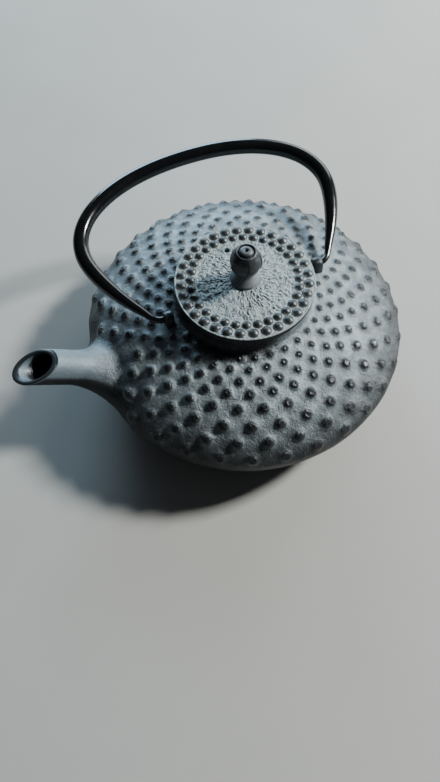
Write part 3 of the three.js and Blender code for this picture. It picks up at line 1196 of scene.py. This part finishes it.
        # the neck: the tube bends to the slant of the mouth
        tip = self.to_mouth(turned, self.tube_radius, -0.9)
        reach = np.linspace(0.0, 1.0, self.neck_rings + 1)[1:]
        bend = np.stack([rings[-1] * (1 - t) + tip * t for t in reach])
        along_neck = self.tube_from + (self.mouth_at - self.tube_from) * reach
        follow = self.tube(turned, along_neck, np.full(len(reach), self.tube_radius))
        weight = (reach**2)[:, None, None]
        neck = follow * (1.0 - weight) + bend * weight
        neck_rows = draft.add(neck, -below[-1:] * np.ones((len(reach), 1)))
        draft.strip(root_rows[-1], neck_rows[0])
        draft.skin(neck_rows)
        # the lip
        outer, inner = self.tube_radius, self.bore_radius
        lip = np.stack([self.to_mouth(turned, radius, lift) for radius, lift in (
            (outer - 0.25, -0.35), (outer - 0.75, -0.05), ((outer + inner) / 2, 0.0),
            (inner + 0.6, -0.1), (inner + 0.15, -0.5),
        )])
        lip_rows = draft.add(lip, np.ones(lip.shape[:-1]))
        draft.strip(neck_rows[-1], lip_rows[0])
        draft.skin(lip_rows)
        # the bore, with half as many columns
        coarse = turned[::2]
        start = self.to_mouth(coarse, inner, -1.2)
        back = np.linspace(0.0, 1.0, self.bore_rings)
        deep = self.tube(coarse, self.mouth_at - self.bore_reach * back, inner * (1.0 + 0.3 * back**2))
        weight = ((1.0 - back) ** 3)[:, None, None]
        bore = deep * (1.0 - weight) + (start[None] + (deep - deep[:1])) * weight
        # painted reflection: near the lip the bore keeps the pale wash instead of black enamel, standing in
        # for light reflected inside the mouth
        coat = ENAMELLED * smoothstep(0.0, 0.2, back)[:, None] * np.ones(len(coarse))
        bore_rows = draft.add(bore, coat)
        draft.halve(lip_rows[-1], bore_rows[0])
        draft.skin(bore_rows)
        draft.fan(bore_rows[-1], bore[-1].mean(axis=0))


@dataclass
class Lug:
    """A small standing lug with a round top that one hook of the handle passes through."""

    side: int
    x: float = 41.2
    thickness: float = 4.4
    width: float = 7.0
    foot: float = 53.4
    hinge: float = 57.8
    hole: float = 1.95
    soft_edge: float = 0.7
    columns: int = 48

    def build(self, iron: bpy.types.Material) -> bpy.types.Object:
        """Makes the lug.

        Args:
            iron: The washed iron finish.

        Returns:
            The finished piece, riding on the pot.
        """
        half = self.width / 2
        turned = around(self.columns)
        cos, sin = np.cos(turned), np.sin(turned)
        reach = half / np.maximum(np.abs(cos), np.abs(sin))
        square = np.stack([cos * reach * 1.12, sin * reach], axis=1)
        square[:, 1] = np.where(square[:, 1] < -half + 0.01, self.foot - self.hinge, square[:, 1])
        round_top = np.stack([cos * half, sin * half], axis=1)
        low = smoothstep(0.2, -0.6, sin)[:, None]
        outer = round_top * (1.0 - low) + square * low
        skirt = (self.foot - self.hinge) * smoothstep(-0.55, -0.9, sin)
        outer[:, 1] = np.minimum(outer[:, 1], np.where(sin < -0.55, skirt, outer[:, 1]))
        inner = np.stack([cos, sin], axis=1) * self.hole
        depth = self.thickness / 2
        half_section = [
            (inner, depth - 0.3), (inner * 1.18, depth), (outer * 0.86, depth),
            (outer * 0.96, depth - self.soft_edge * 0.35), (outer, depth - self.soft_edge),
        ]
        near_face = [(flat, -offset) for flat, offset in half_section]
        stations = [*near_face, (outer * 1.02, 0.0), *reversed(half_section)]
        draft = MeshDraft()
        points = np.stack([
            np.stack([
                np.full(self.columns, self.side * self.x + offset), flat[:, 0], self.hinge + flat[:, 1]
            ], axis=1)
            for flat, offset in stations
        ])
        # the lug is dark all over, partly as rubbed iron and partly as painted shade
        proud = np.broadcast_to(smoothstep(-0.95, -0.3, sin) * 0.2 + 0.7, points.shape[:-1])
        draft.hoop(draft.add(points, proud))
        name = "lug_spout_side" if self.side > 0 else "lug_far_side"
        return mount(draft.finish(name, iron), Body.POT, Slot.WASHED_IRON)


# ---- the lid and its knob ----------------------------------------------------------------


@dataclass
class Lid:
    """The flat lid: plain rim, two staggered rings of domes, linen-like middle and a vent."""

    radius: float = 35.0
    top: float = 66.6
    under: float = 63.5
    crown: float = 67.6
    columns: int = 640
    domes: int = 32
    dome_rings: tuple[tuple[float, float, float], ...] = ((31.5, 2.95, 0.5), (26.95, 2.65, 0.0))
    dome_rise: float = 1.45
    phase: float = math.radians(-0.3)
    vent_distance: float = 20.3
    vent_angle: float = math.radians(-88.2)
    vent_radius: float = 1.5
    stud_hole: float = 2.9
    skirt_outer: float = 25.6
    skirt_inner: float = 23.2
    skirt_foot: float = 57.6
    crepe_depth: float = 0.42
    groove_radius: float = 34.0
    groove_depth: float = 0.22
    stray: float = 0.07
    seed: int = 5

    def relief(
        self, points: np.ndarray, radius: np.ndarray, angle: np.ndarray
    ) -> tuple[np.ndarray, np.ndarray]:
        """Height and dark share of the lid's pattern: rubbed dome tops, and painted shade in the creases.

        Args:
            points: The smooth top's points.
            radius: Their distance from the axis.
            angle: Their angle round the lid.

        Returns:
            The height in millimetres, and the dark share from 0 to 1.
        """
        pitch = TAU / self.domes
        height = np.zeros_like(radius)
        share = np.zeros_like(radius)
        rng = np.random.default_rng(self.seed)
        for distance, size, offset in self.dome_rings:
            wobble = rng.normal(0.0, 1.0, (self.domes, 3))
            turnings = (angle - self.phase) / pitch - offset
            index = np.round(turnings).astype(int) % self.domes
            sideways = (turnings - np.round(turnings)) * pitch * radius - self.stray * wobble[index, 0]
            away = np.hypot(sideways, radius - distance - self.stray * wobble[index, 1])
            wide = size * (1.0 + 0.03 * wobble[index, 2])
            dome = np.clip(1.0 - (away / wide) ** 2, 0.0, 1.0) ** 1.15
            height = np.maximum(height, dome * self.dome_rise)
            share = np.maximum(share, smoothstep(1.0, 0.7, away / wide))
        sway = 0.08 * lattice_noise(points, 2.2, 31)
        reach = 0.36 * radius + 0.5 * lattice_noise(points, 2.6, 32)
        girth = 9.0 + 0.45 * radius
        grain = np.stack([girth * np.cos(angle + sway), girth * np.sin(angle + sway), reach], axis=-1)
        crepe = lattice_noise(grain, 0.84, 7) + 0.25 * lattice_noise(points, 0.6, 9)
        middle = smoothstep(24.5, 23.7, radius) * smoothstep(7.2, 8.6, radius)
        height = height + middle * crepe * self.crepe_depth
        height = height - self.groove_depth * np.exp(-(((radius - self.groove_radius) / 0.35) ** 2))
        # painted shade: the creases of the linen-like middle are darker
        share = np.maximum(share, middle * smoothstep(0.0, -0.5, crepe) * 0.4)
        return height, share

    def build(self, iron: bpy.types.Material) -> bpy.types.Object:
        """Makes the lid with its vent bored through.

        Args:
            iron: The washed iron finish.

        Returns:
            The finished piece, riding on the lid body.
        """
        angles = around(self.columns)
        draft = MeshDraft()
        top_rows = self.top_rows(draft, angles)
        side, top, under = self.radius, self.top, self.under
        edge = np.array([
            (side - 0.2, top - 0.1), (side - 0.05, top - 0.3), (side, top - 0.6), (side, top - 1.6),
            (side, under + 0.7), (side - 0.1, under + 0.3), (side - 0.3, under + 0.05), (side - 0.7, under),
        ])
        # painted shade: the lid's side edge darkens down to its lower corner, above the gap over the collar
        shade_marks = np.maximum(-0.5 * np.arange(len(edge)), PAINTED_SHADE)[:, None] * np.ones(self.columns)
        edge_rows = draft.add(turn(edge, angles), shade_marks)
        outer, inner, foot = self.skirt_outer, self.skirt_inner, self.skirt_foot
        below = np.array([
            (33.0, under), (30.0, under), (outer + 0.6, under), (outer + 0.1, under - 0.2),
            (outer, under - 0.6), (outer, foot + 2.4), (outer, foot + 0.4), (outer - 0.3, foot),
            (inner + 0.3, foot),
            (inner, foot + 0.3), (inner, foot + 2.4), (inner, under - 0.4), (inner - 0.4, under),
            (14.0, under), (self.stud_hole, under),
        ])
        below_rows = draft.add(turn(below, angles[::2]))
        draft.skin([*top_rows, *edge_rows])
        draft.halve(edge_rows[-1], below_rows[0])
        draft.skin(below_rows)
        draft.halve(top_rows[0], below_rows[-1])
        lid = draft.finish("lid_plate", iron)
        self.bore_vent(lid)
        return mount(lid, Body.LID, Slot.WASHED_IRON, "pot_lid")

    def top_rows(self, draft: MeshDraft, angles: np.ndarray) -> np.ndarray:
        """Adds the lid's top with its relief, from the stud's hole out to the rim.

        Args:
            draft: The lid's draft.
            angles: Angles of the columns.

        Returns:
            Point numbers of the rows.
        """
        slope = np.array([
            (3.0, self.crown), (8.6, self.crown), (16.0, self.top + 0.62),
            (self.skirt_inner, self.top), (self.radius, self.top),
        ])
        radius = np.concatenate([
            np.linspace(self.stud_hole, 8.0, 6)[:-1], np.linspace(8.0, 24.2, 68)[:-1],
            np.linspace(24.2, 33.6, 44)[:-1], np.linspace(33.6, self.radius - 0.5, 7),
        ])
        height = np.interp(radius, slope[:, 0], slope[:, 1])
        points = turn(np.stack([radius, height], axis=1), angles)
        lift, share = self.relief(points, *np.meshgrid(radius, angles, indexing="ij"))
        points[..., 2] += lift
        return draft.add(points, share)

    def bore_vent(self, lid: bpy.types.Object) -> None:
        """Cuts the steam vent through the lid.

        Args:
            lid: The lid's object.
        """
        top = self.top
        steps = ((1.0, top - 6.6), (1.0, top - 0.4), (1.06, top + 0.2), (1.1, top + 0.7), (1.1, top + 2.4))
        bar = turn(np.array([(self.vent_radius * grow, z) for grow, z in steps]), around(40))
        middle = np.array([math.cos(self.vent_angle), math.sin(self.vent_angle), 0.0]) * self.vent_distance
        bar = bar + middle
        cutter_draft = MeshDraft()
        # painted shade: the vent's wall is matte black
        rows = cutter_draft.add(bar, np.full(bar.shape[:-1], PAINTED_SHADE))
        cutter_draft.skin(rows)
        for row, (_, z) in ((rows[0], steps[0]), (rows[-1], steps[-1])):
            cutter_draft.fan(row, middle + np.array([0.0, 0.0, z]))
        cutter = cutter_draft.finish("vent_cutter", lid.data.materials[0])
        cut = lid.modifiers.new("vent", "BOOLEAN")
        cut.operation = "DIFFERENCE"
        cut.solver = "EXACT"
        cut.object = cutter
        bake_modifiers(lid)
        bpy.data.objects.remove(cutter)


def bake_modifiers(piece: bpy.types.Object) -> None:
    """Swaps a piece's mesh for the one its modifiers make.

    Args:
        piece: The piece, whose modifiers are cleared.
    """
    graph = bpy.context.evaluated_depsgraph_get()
    made = bpy.data.meshes.new_from_object(piece.evaluated_get(graph))
    piece.modifiers.clear()
    piece.data = made
    for polygon in made.polygons:
        polygon.use_smooth = True


@dataclass
class Knob:
    """The lid's knob: a closed bud of overlapping petals on a flared stem."""

    foot: float = 67.9
    skirt: float = 7.6
    neck: float = 4.2
    neck_height: float = 73.4
    bud: float = 7.65
    bud_height: float = 80.2
    lip_rise: float = 6.6
    petals: int = 5
    overlap: float = 0.55
    seam_depth: float = 0.26
    seam_width: float = 0.026
    stud_radius: float = 2.5
    stud_foot: float = 58.2
    columns: int = 200

    def outline(self) -> np.ndarray:
        """Draws the knob's outline from the edge of its skirt to the rim round the inner bud.

        Returns:
            Array of radius and height, evenly spaced.
        """
        skirt, foot, neck, waist = self.skirt, self.foot, self.neck, self.neck_height
        bud, middle = self.bud, self.bud_height
        line = np.array([
            (skirt - 0.5, foot), (skirt, foot + 0.35), (skirt - 0.1, foot + 0.8), (skirt - 1.2, foot + 1.9),
            (skirt - 2.4, foot + 3.4), (neck + 0.15, waist - 1.0), (neck, waist), (neck + 0.7, waist + 1.0),
            (neck + 2.0, waist + 2.6), (bud - 0.45, waist + 4.6), (bud, middle), (bud - 0.3, middle + 2.3),
            (bud - 1.1, middle + 4.4), (bud - 1.9, middle + 5.8), (bud - 2.6, middle + self.lip_rise),
        ])
        along = lengths(line)
        return soften(resample(line, along, np.linspace(0.0, along[-1], 90)), 10)

    def build(self, iron: bpy.types.Material) -> bpy.types.Object:
        """Makes the knob with its stud.

        Args:
            iron: The dark iron finish.

        Returns:
            The finished piece, riding on the lid body.
        """
        draft = MeshDraft()
        angles = around(self.columns)
        side, foot = self.stud_radius, self.stud_foot
        stud = np.array([
            (side - 0.1, foot + 0.1), (side, foot + 0.4), (side, 67.0), (side, self.foot), (5.0, self.foot)
        ])
        stud_rows = draft.add(turn(stud, angles))
        bud_rows = draft.add(*self.petalled(angles))
        # the crown's third column is its rub; its high values are a painted reflection that pales the inner
        # bud's top
        crown_line = np.array([
            (4.65, 0.5, 0.1), (4.3, 0.45, 0.35), (4.05, 0.0, 0.2), (3.9, -0.5, 0.0), (3.8, -0.6, 0.0),
            (3.65, -0.1, 0.0), (3.2, 0.65, 0.3), (2.5, 1.15, 0.6), (1.7, 1.4, 0.7), (1.1, 1.3, 0.3),
            (0.7, 0.85, 0.0), (0.45, 0.3, 0.0),
        ])
        lip_height = self.bud_height + self.lip_rise
        crown = turn(crown_line[:, :2] + np.array([0.0, lip_height]), angles)
        crown[..., 2] += 0.06 * np.cos(angles * self.petals) * (crown_line[:, :1] > 4.0)
        crown_rows = draft.add(crown, crown_line[:, 2:] * np.ones(self.columns))
        draft.fan(stud_rows[0], np.array([0.0, 0.0, foot]))
        draft.skin([*stud_rows, *bud_rows, *crown_rows])
        draft.fan(crown_rows[-1], np.array([0.0, 0.0, lip_height + 0.2]))
        return mount(draft.finish("bud_knob", iron), Body.LID, Slot.DARK_IRON, "lid_knob")

    def petalled(self, angles: np.ndarray) -> tuple[np.ndarray, np.ndarray]:
        """The bud's skin with its overlapping petals.

        Args:
            angles: Angles of the columns.

        Returns:
            The points, and how far each stands proud.
        """
        line = self.outline()
        height = line[:, 1:]
        on_bud = smoothstep(self.neck_height + 0.6, self.neck_height + 3.4, height)
        on_bud = on_bud * smoothstep(self.bud_height + 6.9, self.bud_height + 3.6, height)
        swirl = 0.06 * np.sin((height - self.neck_height) * 0.5)
        sweep = (angles[None, :] / TAU * self.petals + swirl) % 1.0
        overlap = self.overlap * (1.0 - sweep) ** 1.3 - 0.12
        seam = np.exp(-((np.minimum(sweep, 1.0 - sweep) / self.seam_width) ** 2))
        radius = line[:, :1] + on_bud * (overlap - self.seam_depth * seam)
        proud = on_bud * np.exp(-(((sweep - 0.03) / 0.03) ** 2)) * 0.3
        upright = height * np.ones_like(sweep)
        return np.stack([radius * np.cos(angles), radius * np.sin(angles), upright], axis=2), proud


# ---- the bail handle ---------------------------------------------------------------------


@dataclass
class Bail:
    """The bent bar of the handle, thick in the arch and thin at its two hooks."""

    hinge: float = 57.8
    tilt: float = math.radians(79.3)
    half_width: float = 68.6
    waist: float = 46.0
    arch_rise: float = 38.7
    arch_power: float = 2.15
    draw_in: float = 17.4
    draw_power: float = 1.6
    bend: float = 6.7
    hook_tip: float = 38.6
    hook_radius: float = 1.65
    bar_radius: float = 4.0
    taper: float = 44.0
    pin: float = 12.0
    sides: int = 40

    def half_line(self) -> np.ndarray:
        """Draws half of the centreline in the handle's own plane.

        Returns:
            Array of sideways and upward places, from the hook's tip to the crown.
        """
        corner = self.half_width - self.draw_in
        first = np.array([corner - 6.6, 0.0])
        second = np.array([corner - 3.2, 0.0])
        third = np.array([corner, self.bend])
        hook = [
            tuple((1 - t) ** 2 * first + 2 * t * (1 - t) * second + t * t * third)
            for t in np.linspace(0.0, 1.0, 12)[1:]
        ]
        heights = np.linspace(self.bend, self.waist, 30)[1:]
        drop = (self.waist - heights) / (self.waist - self.bend)
        limb = np.stack([self.half_width - self.draw_in * drop**self.draw_power, heights], axis=1)
        angles = np.linspace(0.0, math.pi / 2, 90)[1:]
        arch = np.stack([
            self.half_width * np.cos(angles) ** (2 / self.arch_power),
            self.waist + self.arch_rise * np.sin(angles) ** (2 / self.arch_power),
        ], axis=1)
        straight = [(self.hook_tip, 0.0), tuple(first)]
        line = soften(walk([*straight, *hook, *limb.tolist(), *arch.tolist()], 1.0), 8)
        line[-1, 0] = 0.0
        return line

    def build(self, enamel: bpy.types.Material) -> bpy.types.Object:
        """Makes the handle, folded down as it lies at rest.

        Args:
            enamel: The black enamel finish.

        Returns:
            The finished piece, riding on the handle body.
        """
        half = self.half_line()
        along = lengths(half)
        share = np.clip((along - self.pin) / self.taper, 0.0, 1.0)
        radius = self.hook_radius + (self.bar_radius - self.hook_radius) * np.sin(share * math.pi / 2)
        radius = radius * (1.0 - 0.18 * np.exp(-along / 0.8))
        line = np.concatenate([half, (half[:-1] * np.array([-1.0, 1.0]))[::-1]])
        radius = np.concatenate([radius, radius[:-1][::-1]])
        heading = np.gradient(line, axis=0)
        heading /= np.linalg.norm(heading, axis=1, keepdims=True)
        up = np.stack([-heading[:, 1], heading[:, 0]], axis=1)
        turned = around(self.sides)
        flat = line[:, None, :] + up[:, None, :] * (radius[:, None] * np.cos(turned))[:, :, None]
        across = radius[:, None] * np.sin(turned)[None, :]
        cos, sin = math.cos(self.tilt), math.sin(self.tilt)
        points = np.stack([
            flat[..., 0],
            across * cos - flat[..., 1] * sin,
            self.hinge + across * sin + flat[..., 1] * cos,
        ], axis=2)
        points += 0.04 * lattice_noise(points, 14.0, 21)[..., None] * np.array([0.3, 0.3, 1.0])
        draft = MeshDraft()
        rows = draft.add(points)
        draft.skin(rows)
        draft.fan(rows[0], points[0].mean(axis=0) + np.array([-0.25, 0.0, 0.0]))
        draft.fan(rows[-1], points[-1].mean(axis=0) + np.array([0.25, 0.0, 0.0]))
        return mount(draft.finish("bail_bar", enamel), Body.HANDLE, Slot.BLACK_ENAMEL, "bail_handle")


# ---- the tea basket ----------------------------------------------------------------------


@dataclass
class Basket:
    """The stainless tea basket: a rolled rim, a woven wall and a pressed cup."""

    rim_radius: float = 30.5
    neck_radius: float = 27.9
    ledge: float = 60.5
    neck_foot: float = 55.2
    floor: float = 22.0
    cup_height: float = 5.0
    sheet: float = 0.6
    wires_round: int = 172
    wires_up: int = 37
    wire: float = 0.38
    weave: float = 0.1
    roll: float = 0.62

    def build(self, steel: bpy.types.Material) -> list[bpy.types.Object]:
        """Makes the three pieces of the basket.

        Args:
            steel: The stainless finish.

        Returns:
            The finished pieces, riding on the basket body.
        """
        return [self.rim(steel), self.wall(steel), self.cup(steel)]

    def rim(self, steel: bpy.types.Material) -> bpy.types.Object:
        """Makes the rolled ring that hangs on the ledge.

        Args:
            steel: The stainless finish.

        Returns:
            The finished piece, riding on the basket body.
        """
        x, z = self.rim_radius - self.roll, self.ledge + self.roll
        turned = np.linspace(-0.5 * math.pi, math.pi, 14)
        bead = [(x + self.roll * math.cos(t), z + self.roll * math.sin(t)) for t in turned]
        outer, inner, foot, top = self.neck_radius, self.neck_radius - self.sheet, self.neck_foot, self.ledge
        profile = walk([
            (outer, foot), (outer, top - 0.5), (outer + 0.4, top), *bead,
            (x - self.roll - 0.25, top + 0.55), (outer - 0.1, top + 0.55),
            (inner, top), (inner, foot + 0.05),
        ], 0.35)
        piece = ring_piece("basket_rim", profile, 160, steel)
        return mount(piece, Body.BASKET, Slot.STAINLESS, "infuser_rim")

    def wall(self, steel: bpy.types.Material) -> bpy.types.Object:
        """Makes the woven wall, a lattice of wires.

        Args:
            steel: The stainless finish.

        Returns:
            The finished piece, riding on the basket body.
        """
        radius = self.neck_radius - self.sheet - 0.6
        heights = np.linspace(self.floor + 1.2, self.ledge - 0.4, self.wires_up)
        angles = around(self.wires_round)
        grid = turn(np.stack([np.full(self.wires_up, radius), heights], axis=1), angles)
        every_other = np.add.outer(np.arange(self.wires_up), np.arange(self.wires_round)) % 2
        weave = self.weave * (every_other * 2 - 1)
        grid[..., 0] += weave * np.cos(angles)
        grid[..., 1] += weave * np.sin(angles)
        draft = MeshDraft()
        draft.skin(draft.add(grid))
        piece = draft.finish("basket_weave", steel)
        wires = piece.modifiers.new("wires", "WIREFRAME")
        wires.thickness = self.wire * MM
        wires.use_even_offset = False
        wires.use_boundary = True
        bake_modifiers(piece)
        return mount(piece, Body.BASKET, Slot.STAINLESS, "infuser_wall")

    def cup(self, steel: bpy.types.Material) -> bpy.types.Object:
        """Makes the pressed cup that closes the foot of the basket.

        Args:
            steel: The stainless finish.

        Returns:
            The finished piece, riding on the basket body.
        """
        outer, inner = self.neck_radius, self.neck_radius - self.sheet
        low, high = self.floor, self.floor + self.cup_height
        pressed = [(4.0, 0.25), (10.0, 0.25), (10.5, 0.05), (14.0, 0.05)]
        pressed += [(14.5, 0.25), (24.5, 0.25), (25.2, 0.0)]
        under = [(radius, low + rise) for radius, rise in pressed]
        wall = [
            (outer - 0.9, low), (outer - 0.25, low + 0.3), (outer, low + 1.0), (outer, high - 0.3),
            (outer - 0.15, high), (inner + 0.1, high), (inner, high - 0.2), (inner, low + 1.2),
            (inner - 0.5, low + 0.75),
        ]
        above = [(25.0, low + 0.6), (24.6, low + 0.85), (14.4, low + 0.85), (14.0, low + 0.65)]
        above += [(10.5, low + 0.65), (10.0, low + 0.85), (4.0, low + 0.85)]
        draft = MeshDraft()
        rows = draft.add(turn(np.array([*under, *wall, *above]), around(120)))
        draft.fan(rows[0], np.array([0.0, 0.0, low + 0.25]))
        draft.skin(rows)
        draft.fan(rows[-1], np.array([0.0, 0.0, low + 0.85]))
        return mount(draft.finish("basket_cup", steel), Body.BASKET, Slot.STAINLESS, "infuser_base")


# ---- the studio --------------------------------------------------------------------------


@dataclass(frozen=True)
class Lamp:
    """One square soft light: its name, place and size in metres, power in watts and colour."""

    name: str
    spot: Place
    size: float
    power: float
    colour: Colour

    def hang(self, aim: Place) -> None:
        """Hangs the light in the scene.

        Args:
            aim: The point that it faces.
        """
        light = bpy.data.lights.new(self.name, "AREA")
        light.size = self.size
        light.energy = self.power
        light.color = self.colour
        lamp = bpy.data.objects.new(self.name, light)
        lamp.location = self.spot
        lamp.rotation_mode = "QUATERNION"
        lamp.rotation_quaternion = (Vector(aim) - Vector(self.spot)).to_track_quat("-Z", "Y")
        put_in_scene(lamp)


@dataclass
class Studio:
    """Floor, soft lights and the camera."""

    lamps: tuple[Lamp, ...] = (
        Lamp("window_key", (-1.08, 0.1, 0.83), 0.2, 33.0, (0.97, 1.0, 0.97)),
        Lamp("window_side", (-1.0, -0.8, 0.58), 0.7, 7.0, (0.88, 0.96, 1.0)),
        Lamp("back_sky", (-0.25, -1.35, 0.38), 0.9, 25.0, (0.55, 0.8, 1.0)),
    )
    eye: Place = (0.0805, 0.1580, 0.2964)
    look: Place = (0.03464, 0.04828, 0.060)
    roll: float = math.radians(-1.1)
    lens: float = 26.6
    lit: Place = (0.0, 0.0, 0.05)
    floor_size: float = 6.0
    floor_gap: float = 0.0002
    sky_colour: Colour = (0.86, 0.92, 1.0)
    sky_strength: float = 0.045

    def floor(self) -> None:
        """Lays the floor."""
        mesh = bpy.data.meshes.new("studio_floor")
        half = self.floor_size / 2
        corners = [(-half, -half, 0), (half, -half, 0), (half, half, 0), (-half, half, 0)]
        mesh.from_pydata(corners, [], [(0, 1, 2, 3)])
        mesh.materials.append(Backdrop().build())
        plane = bpy.data.objects.new("studio_floor", mesh)
        plane.location = (0.0, 0.0, -self.floor_gap)
        put_in_scene(plane)

    def lights(self) -> None:
        """Hangs the lights and sets the sky."""
        for lamp in self.lamps:
            lamp.hang(self.lit)
        world = bpy.data.worlds.new("studio_sky")
        world.use_nodes = True
        sky = world.node_tree.nodes["Background"]
        sky.inputs["Color"].default_value = (*self.sky_colour, 1.0)
        sky.inputs["Strength"].default_value = self.sky_strength
        bpy.context.scene.world = world

    def camera(self) -> None:
        """Sets the camera up."""
        data = bpy.data.cameras.new("camera")
        data.lens = self.lens
        data.sensor_width = 36.0
        data.clip_start = 0.01
        camera = bpy.data.objects.new("camera", data)
        camera.location = self.eye
        camera.rotation_mode = "QUATERNION"
        aim = (Vector(self.look) - Vector(self.eye)).to_track_quat("-Z", "Y")
        camera.rotation_quaternion = aim @ Matrix.Rotation(self.roll, 4, "Z").to_quaternion()
        put_in_scene(camera)
        bpy.context.scene.camera = camera


def dress_fixings(nodes: dict[str, bpy.types.Object], steel: bpy.types.Material) -> None:
    """Gives the washer and the nut under the lid their plated finish.

    Args:
        nodes: The frame's solids by name.
        steel: The zinc plated finish.
    """
    for name in ("knob_washer", "knob_nut"):
        nodes[name].material_slots[0].material = steel


def main() -> None:
    """Builds the teapot and its studio."""
    logging.basicConfig(level=logging.INFO, format="%(message)s")
    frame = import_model()
    iron = WashedIron().build()
    stainless = Steel("stainless", (0.62, 0.62, 0.61), (0.5, 0.5, 0.5), 0.22, 0.38).build()
    zinc = Steel("zinc_steel", (0.55, 0.56, 0.57), (0.4, 0.41, 0.42), 0.3, 0.5).build()
    made = [Pot().build(iron)]
    made += [Lug(side).build(iron) for side in (1, -1)]
    made += [Lid().build(iron), Knob().build(DarkIron().build())]
    made += [Bail().build(BlackEnamel().build())]
    made += Basket().build(stainless)
    dress_fixings(frame["nodes"], zinc)
    for piece in made:
        LOG.info("%s: %d faces", piece.name, len(piece.data.polygons))
    studio = Studio()
    studio.floor()
    studio.lights()
    studio.camera()


if __name__ == "__main__":
    main()
